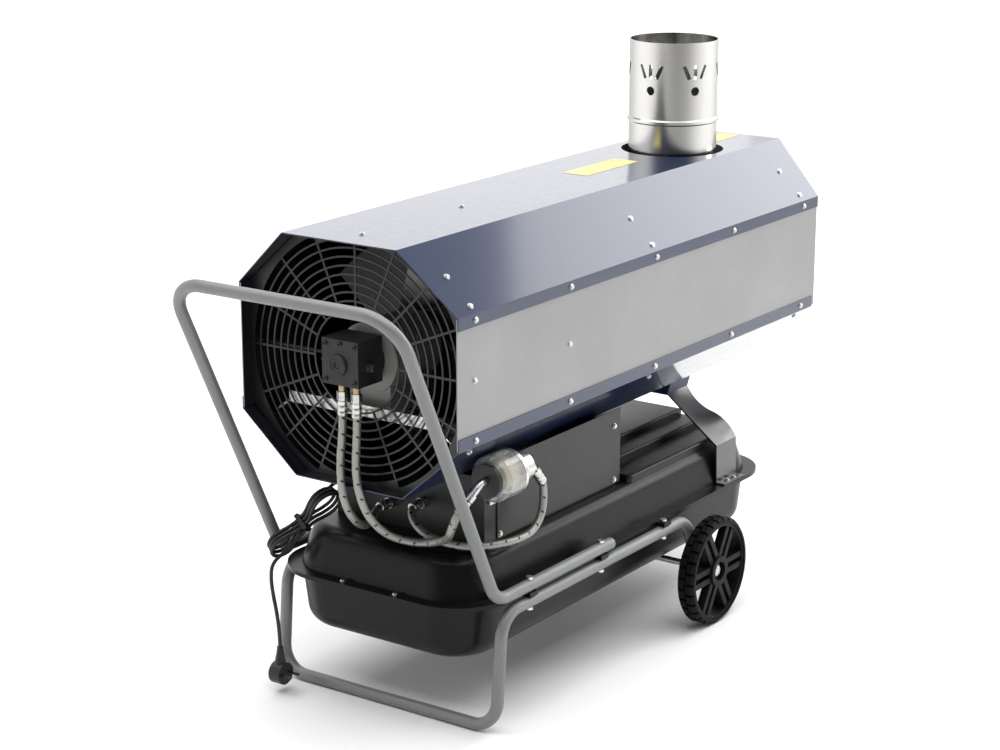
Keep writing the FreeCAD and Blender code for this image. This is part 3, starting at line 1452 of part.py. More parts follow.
def arc_from(start, end, way):
    """The arc that leaves start along way and passes through end, or a line where they agree."""
    chord = end - start
    length = chord.Length
    unit = chord * (1 / length)
    side = way - unit * way.dot(unit)
    if side.Length < 1e-6:
        return Part.LineSegment(start, end).toShape()
    lean = way.getAngle(unit)
    middle = (start + end) * 0.5 + side.normalize() * (length / 2 * math.tan(lean / 2))
    return Part.Arc(start, middle, end).toShape()


# The hank hangs along one slanted line, and its runs stack up along another
HANK_ALONG = Vector(-0.42, 0.55, -0.72).normalize()
HANK_OUT = Vector(-0.274, -0.785, -0.556)
LOOP_VARIETY = (0, 4, 1, 6, 3, 7, 2)


def hank_points(start):
    """Places and headings along the hank: runs drawn in at the waist, half turns at the ends."""
    out = (HANK_OUT - HANK_ALONG * HANK_OUT.dot(HANK_ALONG)).normalize()
    across = out.cross(HANK_ALONG)
    half_run = float(D.hank_run) / 2
    step = float(D.hank_step)
    middle = start + HANK_ALONG * half_run - across * float(D.hank_waist) + out * (step * HANK_RUNS / 2)
    points = []
    ways = []

    def add(along, side, rise, way):
        points.append(middle + HANK_ALONG * along + across * side + out * (rise - step * HANK_RUNS / 2))
        ways.append(way)

    for run in range(HANK_RUNS):
        sense = 1 if run % 2 == 0 else -1
        heading = HANK_ALONG * sense
        start_loop = float(D.hank_loop) + LOOP_VARIETY[max(run - 1, 0)]
        end_loop = float(D.hank_loop) + LOOP_VARIETY[run]
        first = run == 0
        last = run == HANK_RUNS - 1
        add(-sense * half_run, sense * (float(D.hank_waist) if first else start_loop), step * run, heading)
        add(0, sense * float(D.hank_waist), step * (run + 0.5), heading)
        if last:
            add(half_run * 0.6, sense * float(D.hank_waist), step * (run + 1), heading)
            break
        add(sense * half_run, sense * end_loop, step * (run + 1), heading)
        add(sense * (half_run + end_loop), 0, step * (run + 1), across * -sense)
    return points, ways, middle, across, out


def least_gap(wire, diameter):
    """The least room between turns of a cord, measured on points along it."""
    spots = wire.discretize(Distance=float(diameter) / 2)
    apart = 8
    best = min((first - second).Length for number, first in enumerate(spots)
               for second in spots[number + apart:])
    return best - float(diameter)


def make_cord():
    """Mains cord: gland, lead, tied hank, tail and angled plug."""
    gland_x = D.box_front - D.gland_length
    profile = [(D.cord_diameter / 2 + D.shaft_gap, 0), (D.gland_radius * 0.6, 0),
               (D.gland_radius, D.gland_length * 0.6), (D.gland_radius, D.gland_length),
               (D.cord_diameter / 2 + D.shaft_gap, D.gland_length)]
    keep(turned("cord_gland", profile, (gland_x, D.gland_y, D.gland_z), "x"))
    start = vector(D.box_front, D.gland_y, D.gland_z)
    lead_corner = start - vector(D.lead_out, 0, 0)
    points, ways, middle, across, out = hank_points(lead_corner + HANK_ALONG * float(D.lead_run))
    wire = Part.Wire(biarc_edges(points, ways))
    radius = float(D.cord_diameter) / 2
    hank = sweep(wire, points[0], ways[0], radius)
    ratio = hank.Volume / (math.pi * radius ** 2 * wire.Length)
    print("cord_hank length", round(wire.Length, 1), "volume ratio", round(ratio, 4))
    print("  least gap", round(least_gap(wire, D.cord_diameter), 2))
    keep(feature("cord_hank", hank))
    hanging_tube("cord_lead", [start, lead_corner, points[0]], D.cord_diameter)
    plug_top = Vector(-469, 174, float(D.plug_radius * 2 + D.plug_neck) + 15)
    tail = [
        points[-1], points[-1] + ways[-1] * 20, Vector(-474, 182, 224), Vector(-476, 184, 196),
        Vector(-474, 181, 166), Vector(-471, 177, 136), plug_top + Vector(0, 0, 22), plug_top,
    ]
    hanging_tube("cord_tail", tail, D.cord_diameter)
    make_tie(middle, across, out)
    make_plug(plug_top)


def make_tie(middle, across, out):
    """A band round the hank's waist."""
    half_side = float(D.hank_waist + D.cord_diameter / 2 + D.fit_gap)
    half_out = float(D.hank_step) * (HANK_RUNS - 1) / 2 + float(D.cord_diameter / 2 + D.fit_gap)
    skin = float(D.tie_sheet)
    width = float(D.tie_width)

    def block(grow, length):
        size_side = half_side + grow
        size_out = half_out + grow
        return Part.makeBox(2 * size_side, 2 * size_out, length, Vector(-size_side, -size_out, -length / 2))

    band = block(skin, width)
    band = band.makeFillet(skin, [edge for edge in band.Edges if edge.BoundBox.ZLength > 1])
    band = band.cut(block(0, width * 2))
    turn = FreeCAD.Matrix(
        across.x, out.x, HANK_ALONG.x, middle.x,
        across.y, out.y, HANK_ALONG.y, middle.y,
        across.z, out.z, HANK_ALONG.z, middle.z,
        0, 0, 0, 1)
    obj = doc.addObject("Part::Feature", "cord_tie")
    obj.Shape = band
    obj.Placement = Placement(turn)
    keep(obj)


def make_plug(top):
    """Angled two-pin mains plug: the cord comes down into its neck, the pins look to -Y."""
    radius = float(D.plug_radius)
    thickness = float(D.plug_thickness)
    neck = float(D.plug_neck)
    middle = top - Vector(0, 0, neck + radius)
    body = Part.makeCylinder(radius, thickness, middle + Vector(0, -thickness / 2, 0), Vector(0, 1, 0))
    stem = Part.makeCone(radius * 0.62, float(D.cord_diameter) * 0.8, neck + radius * 0.6,
                         middle + Vector(0, 0, radius * 0.4), Vector(0, 0, 1))
    pins = []
    for side in (-1, 1):
        at = middle + Vector(side * float(D.pin_pitch) / 2, -thickness / 2 + 1, 0)
        pins.append(Part.makeCylinder(float(D.pin_radius), float(D.pin_length) + 1, at, Vector(0, -1, 0)))
    keep(feature("plug", body.fuse([stem] + pins).removeSplitter()))


def write_parts():
    """Checks every object, and then writes each sub-part under its own name."""
    doc.recompute()
    for obj in doc.Objects:
        if "Invalid" in obj.State or "Error" in obj.State:
            raise RuntimeError(f"{obj.Name} failed: {obj.State}")
    for node in NODES:
        if node.Shape.isNull() or not node.Shape.isValid():
            raise RuntimeError(f"{node.Label} has no valid shape")
        if not node.Shape.Solids:
            raise RuntimeError(f"{node.Label} has no solid")
    os.makedirs("parts", exist_ok=True)
    for node in NODES:
        node.Shape.exportStep(f"parts/{node.Label}.step")
    print(len(NODES), "sub-parts written")


screw_holes = screw_set("sheet_screws", housing_screw_places() + cover_screw_places() + tank_screw_places())
make_housing(screw_holes)
make_guard()
make_outlet()
make_heat_path()
make_burner()
make_fan_drive()
pump_ports = make_pump()
make_control_box(screw_holes)
bolt_holes = frame_bolts()
upper_form = make_tank(bolt_holes, screw_holes)
make_saddle(upper_form, screw_holes)
make_wheels(make_frame(bolt_holes))
filter_ends = make_filter()
make_hoses(pump_ports, filter_ends)
make_cord()
write_parts()
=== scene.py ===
import json
import math

import bpy
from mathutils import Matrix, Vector


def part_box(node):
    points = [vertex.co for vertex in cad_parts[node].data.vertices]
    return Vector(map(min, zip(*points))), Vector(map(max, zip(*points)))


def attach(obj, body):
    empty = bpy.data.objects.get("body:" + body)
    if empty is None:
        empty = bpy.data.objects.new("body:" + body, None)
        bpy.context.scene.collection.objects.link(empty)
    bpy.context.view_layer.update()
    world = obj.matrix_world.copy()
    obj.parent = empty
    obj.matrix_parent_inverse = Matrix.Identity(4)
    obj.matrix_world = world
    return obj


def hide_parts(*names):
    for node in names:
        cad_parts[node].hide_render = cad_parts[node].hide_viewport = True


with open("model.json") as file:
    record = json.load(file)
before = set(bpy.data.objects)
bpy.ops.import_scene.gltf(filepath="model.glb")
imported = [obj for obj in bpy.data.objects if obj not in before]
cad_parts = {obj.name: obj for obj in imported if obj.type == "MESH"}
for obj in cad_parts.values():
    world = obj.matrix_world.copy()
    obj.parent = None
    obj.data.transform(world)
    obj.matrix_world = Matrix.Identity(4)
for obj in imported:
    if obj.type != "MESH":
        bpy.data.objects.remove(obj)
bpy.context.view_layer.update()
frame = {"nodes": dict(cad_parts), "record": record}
nodes = frame["nodes"]


def metres(points):
    return [Vector(point) / 1000 for point in points]


# Camera at the photograph's angle
CAMERA_PLACE = Vector((-3.1958, -2.1704, 1.5366))
CAMERA_YAW = math.radians(34.95)
CAMERA_PITCH = math.radians(15.57)
LENS = 84.5
SENSOR_WIDTH = 36

camera_data = bpy.data.cameras.new("camera")
camera_data.sensor_width = SENSOR_WIDTH
camera_data.lens = LENS
camera = bpy.data.objects.new("camera", camera_data)
camera.location = CAMERA_PLACE
look = Vector((math.cos(CAMERA_PITCH) * math.cos(CAMERA_YAW),
               math.cos(CAMERA_PITCH) * math.sin(CAMERA_YAW),
               -math.sin(CAMERA_PITCH)))
camera.rotation_mode = "QUATERNION"
camera.rotation_quaternion = look.to_track_quat("-Z", "Y")
bpy.context.scene.collection.objects.link(camera)
bpy.context.scene.camera = camera


# Materials
AXIS_HEIGHT = 0.5895
INWARD_LIMIT = -0.02
NOISE_LOW = 0.3
NOISE_HIGH = 0.7


def map_range(tree, source, start, end, low, high, kind="LINEAR"):
    """A value that runs from low to high while the source runs from start to end."""
    node = tree.nodes.new("ShaderNodeMapRange")
    node.interpolation_type = kind
    for label, value in (("From Min", start), ("From Max", end), ("To Min", low), ("To Max", high)):
        node.inputs[label].default_value = value
    tree.links.new(source, node.inputs["Value"])
    return node.outputs["Result"]


class Paint:
    """A material under construction: its tree, its shader and the nodes that vary it."""

    def __init__(self, name, colour, roughness, metallic=0.0):
        self.material = bpy.data.materials.new(name)
        self.material.use_nodes = True
        self.tree = self.material.node_tree
        self.shader = self.tree.nodes["Principled BSDF"]
        self.shader.inputs["Base Color"].default_value = (*colour, 1)
        self.shader.inputs["Roughness"].default_value = roughness
        self.shader.inputs["Metallic"].default_value = metallic
        self.colour = colour

    def set(self, **values):
        for label, value in values.items():
            self.shader.inputs[label.replace("_", " ")].default_value = value

    def node(self, kind, **values):
        node = self.tree.nodes.new(f"ShaderNode{kind}")
        for label, value in values.items():
            setattr(node, label, value)
        return node

    def link(self, source, target):
        self.tree.links.new(source, target)

    def math(self, operation, first, second=None):
        node = self.node("Math", operation=operation)
        for socket, value in zip(node.inputs, (first, second)):
            if value is None:
                continue
            if isinstance(value, (int, float)):
                socket.default_value = value
            else:
                self.link(value, socket)
        return node.outputs[0]

    def coordinates(self, stretch=(1, 1, 1)):
        mapping = self.node("Mapping")
        mapping.inputs["Scale"].default_value = stretch
        self.link(self.node("TexCoord").outputs["Object"], mapping.inputs["Vector"])
        return mapping.outputs["Vector"]

    def noise(self, scale, detail, stretch=(1, 1, 1)):
        texture = self.node("TexNoise")
        texture.inputs["Scale"].default_value = scale
        texture.inputs["Detail"].default_value = detail
        self.link(self.coordinates(stretch), texture.inputs["Vector"])
        return texture.outputs["Fac"]

    def spread(self, factor, low, high):
        """A noise's usual span, stretched to run from low to high."""
        return map_range(self.tree, factor, NOISE_LOW, NOISE_HIGH, low, high)

    def mix(self, factor, first, second):
        """One colour where the factor is low and another where it is high; each is a colour or a socket."""
        node = self.node("Mix", data_type="RGBA")
        sockets = [item for item in node.inputs if item.type == "RGBA"]
        for socket, colour in zip(sockets, (first, second)):
            if isinstance(colour, tuple):
                socket.default_value = (*colour, 1)
            else:
                self.link(colour, socket)
        self.link(factor, node.inputs[0])
        return [item for item in node.outputs if item.type == "RGBA"][0]

    def cover(self, colour):
        self.link(colour, self.shader.inputs["Base Color"])

    def tint(self, factor, other, base=None):
        """The colour, mixed with another where the factor is high."""
        result = self.mix(factor, base or self.colour, other)
        self.cover(result)
        return result

    def shade_inside(self, outside, inside_shade):
        """Painted shade: a dark colour on the faces that look inward, to the housing's middle line, standing
        in for the shadow inside the housing.
        """
        geometry = self.node("NewGeometry")
        from_axis = self.node("VectorMath", operation="SUBTRACT")
        from_axis.inputs[1].default_value = (0, 0, AXIS_HEIGHT)
        self.link(geometry.outputs["Position"], from_axis.inputs[0])
        across = self.node("VectorMath", operation="MULTIPLY")
        across.inputs[1].default_value = (0, 1, 1)
        self.link(from_axis.outputs[0], across.inputs[0])
        facing = self.node("VectorMath", operation="DOT_PRODUCT")
        self.link(across.outputs[0], facing.inputs[0])
        self.link(geometry.outputs["True Normal"], facing.inputs[1])
        inward = self.math("LESS_THAN", facing.outputs["Value"], INWARD_LIMIT)
        self.cover(self.mix(inward, outside, inside_shade))

    def change_coat(self, axis, start, end, before, after):
        """One weight of clear coat before a place along an axis and another after it."""
        place = self.node("SeparateXYZ")
        self.link(self.node("NewGeometry").outputs["Position"], place.inputs[0])
        weight = map_range(self.tree, place.outputs[axis], start, end, before, after)
        self.link(weight, self.shader.inputs["Coat Weight"])

    def rough(self, factor, low, high):
        self.link(self.spread(factor, low, high), self.shader.inputs["Roughness"])

    def bump(self, height, distance, strength):
        node = self.node("Bump")
        node.inputs["Distance"].default_value = distance
        node.inputs["Strength"].default_value = strength
        self.link(height, node.inputs["Height"])
        self.link(node.outputs["Normal"], self.shader.inputs["Normal"])


def shade(colour, share):
    return tuple(min(value * share, 1) for value in colour)


def sheet_paint(name, colour, roughness, coat, peel, metallic=0.0, inside_shade=None, shine=0.5, change=None,
                coat_roughness=0.1):
    """Sprayed or powder-coated sheet: faint cloudiness, uneven gloss and orange peel."""
    paint = Paint(name, colour, roughness, metallic)
    cloud = paint.tint(paint.spread(paint.noise(7, 3), 0, 1), shade(colour, 1.06), base=shade(colour, 0.95))
    # Painted shade: inward-looking faces take a dark colour in place of the shadow inside the housing.
    if inside_shade:
        paint.shade_inside(cloud, inside_shade)
    paint.rough(paint.noise(70, 4), roughness * 0.93, roughness * 1.08)
    paint.bump(paint.noise(1100, 2), peel, 0.35)
    paint.set(Coat_Weight=coat, Coat_Roughness=coat_roughness, Specular_IOR_Level=shine)
    if change:
        paint.change_coat(*change, coat)
    return paint.material


def rolled_steel(name, colour, roughness, axis_x, reflection_bands, turn):
    """Stainless sheet rolled into an upright tube: painted reflection, as soft light and dark bands along
    its height, and a fine grain round it.
    """
    paint = Paint(name, colour, roughness, 1.0)
    place = paint.node("Mapping")
    place.inputs["Location"].default_value = (-axis_x, 0, 0)
    paint.link(paint.node("TexCoord").outputs["Object"], place.inputs["Vector"])
    around = paint.node("TexGradient", gradient_type="RADIAL")
    paint.link(place.outputs["Vector"], around.inputs["Vector"])
    # Painted reflection: the colour swings between full and 0.36 of itself in bands round the tube; the turn
    # sets where the dark bands fall.
    wander = paint.math("MULTIPLY", paint.noise(9, 3, (1, 1, 0.1)), 0.9)
    phase = paint.math("MULTIPLY", around.outputs["Fac"], 2 * math.pi * reflection_bands)
    painted_reflection = paint.math("SINE", paint.math("ADD", paint.math("ADD", phase, turn), wander))
    paint.tint(paint.math("ADD", paint.math("MULTIPLY", painted_reflection, 0.5), 0.5), colour, base=shade(colour, 0.36))
    grain = paint.noise(30, 5, (1, 1, 24))
    paint.rough(grain, roughness * 0.9, roughness * 1.12)
    paint.bump(grain, 0.00001, 0.15)
    return paint.material


def drawn_metal(name, colour, roughness, stretch, depth):
    """Bare metal with a drawn or rolled grain along one way."""
    paint = Paint(name, colour, roughness, 1.0)
    grain = paint.noise(24, 8, stretch)
    paint.tint(paint.spread(grain, 0, 1), shade(colour, 1.05), base=shade(colour, 0.94))
    paint.rough(grain, roughness * 0.88, roughness * 1.15)
    paint.bump(grain, depth, 0.2)
    return paint.material


def plated(name, colour, roughness):
    """Plated small parts: mottled crystals and soft gloss."""
    paint = Paint(name, colour, roughness, 1.0)
    crystal = paint.node("TexVoronoi")
    crystal.inputs["Scale"].default_value = 260
    paint.link(paint.coordinates(), crystal.inputs["Vector"])
    paint.tint(paint.math("MULTIPLY", crystal.outputs["Distance"], 1.2), shade(colour, 0.78))
    paint.rough(paint.noise(140, 4), roughness * 0.8, roughness * 1.3)
    paint.bump(paint.noise(700, 3), 0.00006, 0.4)
    return paint.material


def moulded(name, colour, roughness, grain, scale, shine=0.5):
    """Moulded plastic or rubber with a fine grained skin."""
    paint = Paint(name, colour, roughness)
    paint.set(Specular_IOR_Level=shine)
    paint.tint(paint.spread(paint.noise(14, 4), 0, 1), shade(colour, 1.35), base=shade(colour, 0.9))
    paint.rough(paint.noise(90, 5), roughness * 0.85, min(roughness * 1.2, 1))
    paint.bump(paint.noise(scale, 3), grain, 0.6)
    return paint.material


LAY_SHIFT = 4000  # keeps a strand's count above zero on the whole hose
FLECK_WIDTH = 1.1
FLECK_LENGTH = 1.7
FLECK_SPACING = 4


def braid(name, wire, gap, tracer, pitch, strands):
    """Woven wire braid on a hose, with dark tracer strands; runs on the tube's own length and turn."""
    paint = Paint(name, wire, 0.35, 0.75)
    split = paint.node("SeparateXYZ")
    paint.link(paint.node("TexCoord").outputs["UV"], split.inputs["Vector"])
    along = paint.math("MULTIPLY", split.outputs["X"], 1 / pitch)
    around = paint.math("MULTIPLY", split.outputs["Y"], strands)
    right = paint.math("ADD", along, around)
    left = paint.math("SUBTRACT", along, around)
    crests = []
    for lay in (right, left):
        crests.append(paint.math("ABSOLUTE", paint.math("SINE", paint.math("MULTIPLY", lay, math.pi))))
    weave = paint.math("MAXIMUM", *crests)
    ground = paint.mix(paint.math("POWER", weave, 2.0), gap, wire)
    every = paint.math("MODULO", paint.math("ADD", right, LAY_SHIFT), strands)
    across = paint.math("MODULO", paint.math("ADD", left, LAY_SHIFT), FLECK_SPACING)
    fleck = paint.math("MULTIPLY", paint.math("LESS_THAN", every, FLECK_WIDTH),
                       paint.math("LESS_THAN", across, FLECK_LENGTH))
    paint.cover(paint.mix(fleck, ground, tracer))
    paint.bump(weave, 0.0006, 0.7)
    return paint.material


def clear_plastic(name, colour):
    paint = Paint(name, colour, 0.08)
    paint.set(Transmission_Weight=0.9, IOR=1.49)
    paint.rough(paint.noise(40, 4), 0.05, 0.16)
    paint.bump(paint.noise(30, 3), 0.0004, 0.3)
    return paint.material


def cast(name, colour, roughness):
    """Painted casting with a grainy skin."""
    paint = Paint(name, colour, roughness, 0.2)
    paint.tint(paint.spread(paint.noise(30, 6), 0, 1), shade(colour, 1.6), base=shade(colour, 0.85))
    paint.rough(paint.noise(200, 4), roughness * 0.8, roughness * 1.2)
    paint.bump(paint.noise(480, 5), 0.0003, 0.8)
    return paint.material


def scorched(name, colour):
    """Heat-worked sheet inside: blue and straw tints over grey."""
    paint = Paint(name, colour, 0.45, 0.9)
    heat = paint.noise(5, 5)
    paint.tint(paint.spread(heat, 0, 1), (0.30, 0.24, 0.17), base=shade(colour, 0.8))
    paint.rough(paint.noise(50, 4), 0.35, 0.6)
    paint.bump(paint.noise(300, 3), 0.0001, 0.4)
    return paint.material


NAVY = (0.010, 0.020, 0.060)
# Painted shade: the dark colour put on the housing sheets' inward-looking faces, standing in for the shadow
# inside.
INSIDE_SHADE_COLOUR = (0.006, 0.007, 0.010)
LOOKS = {
    "navy_paint": sheet_paint("navy_paint", NAVY, 0.3, 0.8, 0.00003, inside_shade=INSIDE_SHADE_COLOUR, shine=0.15,
                              change=("Z", 0.386, 0.396, 0.06)),
    "panel_grey": sheet_paint("panel_grey", (0.27, 0.27, 0.27), 0.4, 0.1, 0.00006, 0.3, INSIDE_SHADE_COLOUR),
    # Painted reflection on the flue: four light and dark bands round it, turned so a dark one faces the
    # camera.
    "stainless": rolled_steel("stainless", (0.76, 0.75, 0.72), 0.22, 0.458, 4, 1.8),
    "inner_steel": scorched("inner_steel", (0.34, 0.34, 0.35)),
    "guard_black": sheet_paint("guard_black", (0.005, 0.005, 0.006), 0.42, 0.1, 0.00008),
    "tank_black": sheet_paint("tank_black", (0.003, 0.0031, 0.0034), 0.34, 0.05, 0.00006, shine=0.18),
    "tube_grey": sheet_paint("tube_grey", (0.19, 0.195, 0.198), 0.42, 0.1, 0.00012, 0.2),
    "cover_grey": sheet_paint("cover_grey", (0.015, 0.0154, 0.0165), 0.38, 0.9, 0.0001, shine=0.28,
                              change=("X", 0.28, 0.30, 0.1), coat_roughness=0.24),
    "motor_grey": sheet_paint("motor_grey", (0.24, 0.235, 0.22), 0.42, 0.1, 0.0001),
    "pump_black": cast("pump_black", (0.012, 0.012, 0.013), 0.5),
    "fan_alloy": drawn_metal("fan_alloy", (0.30, 0.30, 0.30), 0.4, (1, 12, 1), 0.0001),
    "zinc": plated("zinc", (0.66, 0.66, 0.64), 0.27),
    "brass": plated("brass", (0.46, 0.36, 0.20), 0.32),
    "tyre_rubber": moulded("tyre_rubber", (0.0045, 0.0045, 0.0048), 0.6, 0.0003, 420, 0.12),
    "wheel_plastic": moulded("wheel_plastic", (0.006, 0.0062, 0.0065), 0.46, 0.0002, 600, 0.12),
    "hose_braid": braid("hose_braid", (0.42, 0.41, 0.38), (0.06, 0.06, 0.055), (0.012, 0.012, 0.012),
                        0.0032, 8),
    "clear_bowl": clear_plastic("clear_bowl", (0.90, 0.91, 0.90)),
    "filter_paper": moulded("filter_paper", (0.62, 0.55, 0.40), 0.9, 0.0005, 250),
    "black_plastic": moulded("black_plastic", (0.010, 0.010, 0.011), 0.42, 0.0002, 500),
    "cord_black": moulded("cord_black", (0.007, 0.007, 0.0075), 0.45, 0.0001, 900),
    "button_red": moulded("button_red", (0.45, 0.02, 0.015), 0.3, 0.0001, 300),
    "lamp_amber": moulded("lamp_amber", (0.75, 0.30, 0.03), 0.2, 0.0001, 200),
    "unit_grey": moulded("unit_grey", (0.30, 0.31, 0.32), 0.5, 0.0002, 400),
    "strip_yellow": moulded("strip_yellow", (0.52, 0.46, 0.16), 0.4, 0.00005, 500),
}
for entry in frame["record"]["subparts"]:
    node = nodes[entry["node"]]
    node.data.materials.clear()
    node.data.materials.append(LOOKS[entry["material_slot"]])


# Pieces made here
SPLINE_STEPS = 14
EDGE_ANGLE = math.radians(35)


def add_mesh(name, points, faces, slot, body="chassis", smooth=True, uvs=None):
    """A mesh piece that takes a slot's material and rides on a body."""
    mesh = bpy.data.meshes.new(name)
    mesh.from_pydata([tuple(point) for point in points], [], faces)
    if uvs:
        layer = mesh.uv_layers.new(name="uv")
        for polygon, corners in zip(mesh.polygons, uvs):
            for loop, corner in zip(polygon.loop_indices, corners):
                layer.data[loop].uv = corner
    for polygon in mesh.polygons:
        polygon.use_smooth = smooth
    mesh.materials.append(LOOKS[slot])
    obj = bpy.data.objects.new(name, mesh)
    bpy.context.scene.collection.objects.link(obj)
    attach(obj, body)
    return obj


def spline_line(control):
    """The points of a smooth spline that starts and ends at its outer control points."""
    curve = bpy.data.curves.new("line", "CURVE")
    curve.dimensions = "3D"
    curve.resolution_u = SPLINE_STEPS
    spline = curve.splines.new("NURBS")
    spline.points.add(len(control) - 1)
    for point, place in zip(spline.points, control):
        point.co = (*place, 1)
    spline.order_u = 3
    spline.use_endpoint_u = True
    holder = bpy.data.objects.new("line", curve)
    line_mesh = bpy.data.meshes.new_from_object(holder)
    line = [vertex.co.copy() for vertex in line_mesh.vertices]
    bpy.data.objects.remove(holder)
    bpy.data.meshes.remove(line_mesh)
    bpy.data.curves.remove(curve)
    return line


def rings_along(line):
    """A frame at each point of a line that doesn't twist on the way."""
    frames = []
    side = None
    for number, point in enumerate(line):
        ahead = line[min(number + 1, len(line) - 1)] - line[max(number - 1, 0)]
        ahead.normalize()
        if side is None:
            side = ahead.orthogonal()
        side = side - ahead * side.dot(ahead)
        side.normalize()
        frames.append((point, side.copy(), ahead.cross(side)))
    return frames


def tube_piece(name, line, radius, slot, sides):
    """A round tube along a line, with its length and turn as texture coordinates."""
    points = []
    lengths = []
    run = 0.0
    for number, (place, side, other) in enumerate(rings_along(line)):
        if number:
            run += (line[number] - line[number - 1]).length
        lengths.append(run)
        for step in range(sides):
            turn = 2 * math.pi * step / sides
            points.append(place + side * (radius * math.cos(turn)) + other * (radius * math.sin(turn)))
    faces = []
    uvs = []
    for ring in range(len(line) - 1):
        for step in range(sides):
            after = (step + 1) % sides
            here = ring * sides
            there = here + sides
            faces.append((here + step, here + after, there + after, there + step))
            start, end = step / sides, (step + 1) / sides
            uvs.append(((lengths[ring], start), (lengths[ring], end),
                        (lengths[ring + 1], end), (lengths[ring + 1], start)))
    last = (len(line) - 1) * sides
    faces.append(tuple(reversed(range(sides))))
    uvs.append(((0, 0),) * sides)
    faces.append(tuple(range(last, last + sides)))
    uvs.append(((run, 0),) * sides)
    return add_mesh(name, points, faces, slot, uvs=uvs), run


def lathe(name, profile, at, direction, slot, sides=32):
    """A profile of (radius, height) turned about a direction, in metres."""
    direction = Vector(direction).normalized()
    side = direction.orthogonal().normalized()
    other = direction.cross(side)
    points = []
    for radius, height in profile:
        for step in range(sides):
            turn = 2 * math.pi * step / sides
            points.append(at + direction * height + side * (radius * math.cos(turn))
                          + other * (radius * math.sin(turn)))
    faces = []
    for ring in range(len(profile) - 1):
        for step in range(sides):
            after = (step + 1) % sides
            here = ring * sides
            faces.append((here + step, here + after, here + sides + after, here + sides + step))
    faces.append(tuple(reversed(range(sides))))
    faces.append(tuple(range((len(profile) - 1) * sides, len(profile) * sides)))
    piece = add_mesh(name, points, faces, slot)
    edges = piece.modifiers.new("edges", "EDGE_SPLIT")
    edges.split_angle = EDGE_ANGLE
    return piece


# Braided hoses: route points as in the part's source
HOSE_RADIUS = 0.0065
ELBOW_RUN = 32
STRAIGHT_RUN = 24
FERRULE = [
    (0.0068, 0), (0.0082, 0.001), (0.0082, 0.006), (0.0076, 0.0075), (0.0082, 0.009), (0.0082, 0.015),
    (0.0076, 0.0165), (0.0082, 0.018), (0.0082, 0.023), (0.0068, 0.024),
]
FERRULE_POINTS = 6
FRONT_HEADING = Vector((-1, 0.35, -1)).normalized()
REAR_HEADING = Vector((1, 0, -1)).normalized()
FRONT_ELBOW = Vector((-417, -190, 412)) + FRONT_HEADING * ELBOW_RUN
REAR_ELBOW = Vector((-284, -190, 412)) + REAR_HEADING * ELBOW_RUN
HOSES = {
    "return_hose": [
        (-508, 2, 536.7), (-508, 2, 492.7), (-509, 8, 440), (-509, 7, 396), (-502, 3, 360), (-483, 1, 333),
        (-455, 6, 317), (-427, 17, 312), (-402, 28, 317), (-379, 34, 322), (-357, 34, 322),
    ],
    "suction_hose": [
        (-508, -26, 536.7), (-508, -26, 492.7), (-509, -22, 440), (-507, -23, 403), (-498, -27, 366),
        (-482, -36, 335), (-458, -48, 311), (-434, -66, 299), (-420, -92, 298), (-424, -122, 308),
        (-441, -148, 323), (-457, -164, 342), FRONT_ELBOW + FRONT_HEADING * STRAIGHT_RUN,
        FRONT_ELBOW,
    ],
    "feed_hose": [
        REAR_ELBOW, REAR_ELBOW + REAR_HEADING * STRAIGHT_RUN, (-236, -187, 349), (-240, -188, 324),
        (-254, -189, 304),
        (-277, -189, 292), (-308, -188, 291), (-340, -179, 291), (-371, -160, 291), (-394, -131, 293),
        (-405, -98, 300), (-407, -70, 309), (-398, -45, 322), (-379, -30, 334), (-357, -30, 334),
    ],
}
for label, route in HOSES.items():
    line = spline_line(metres(route))
    hose, length = tube_piece(f"{label}_braid", line, HOSE_RADIUS, "hose_braid", 24)
    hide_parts(label)
    inside = ((line[0], line[FERRULE_POINTS], "start"), (line[-1], line[-1 - FERRULE_POINTS], "end"))
    for end, near, word in inside:
        lathe(f"{label}_ferrule_{word}", FERRULE, end, near - end, "zinc")

# Mains cord: out of its gland, through the tied hank and down to the plug
CORD_RADIUS = 0.0031
HANK_ALONG = Vector((-0.42, 0.55, -0.72)).normalized()
HANK_OUT = Vector((-0.274, -0.785, -0.556))
HANK_OUT = (HANK_OUT - HANK_ALONG * HANK_OUT.dot(HANK_ALONG)).normalized()
HANK_ACROSS = HANK_OUT.cross(HANK_ALONG)
HANK_RUNS = 7
HANK_STEP = 3.8
HANK_WAIST = 4
HALF_RUN = 50
TIE_RUN = 14
TIE_RISES = (0.4, 0.6)
TAIL_SHARE = 0.6
PLUG_RUN = 22
GLAND_RUN = 40
LEAD_RUN = 36
TAIL_RUN = 20
LOOPS = (19, 23, 20, 25, 22, 26)
LOOP_SPACING = 43
LOOP_TURNS = [LOOP_SPACING * count for count in (3, 2, 1, 0, -1, -2, -3)]

gland = Vector((-345, 118, 352))
lead_corner = gland - Vector((GLAND_RUN, 0, 0))
hank_start = lead_corner + HANK_ALONG * LEAD_RUN
hank_middle = (hank_start + HANK_ALONG * HALF_RUN - HANK_ACROSS * HANK_WAIST
               + HANK_OUT * (HANK_STEP * HANK_RUNS / 2))


def hank_place(along, across, rise):
    return (hank_middle + HANK_ALONG * along + HANK_ACROSS * across
            + HANK_OUT * (rise - HANK_STEP * HANK_RUNS / 2))


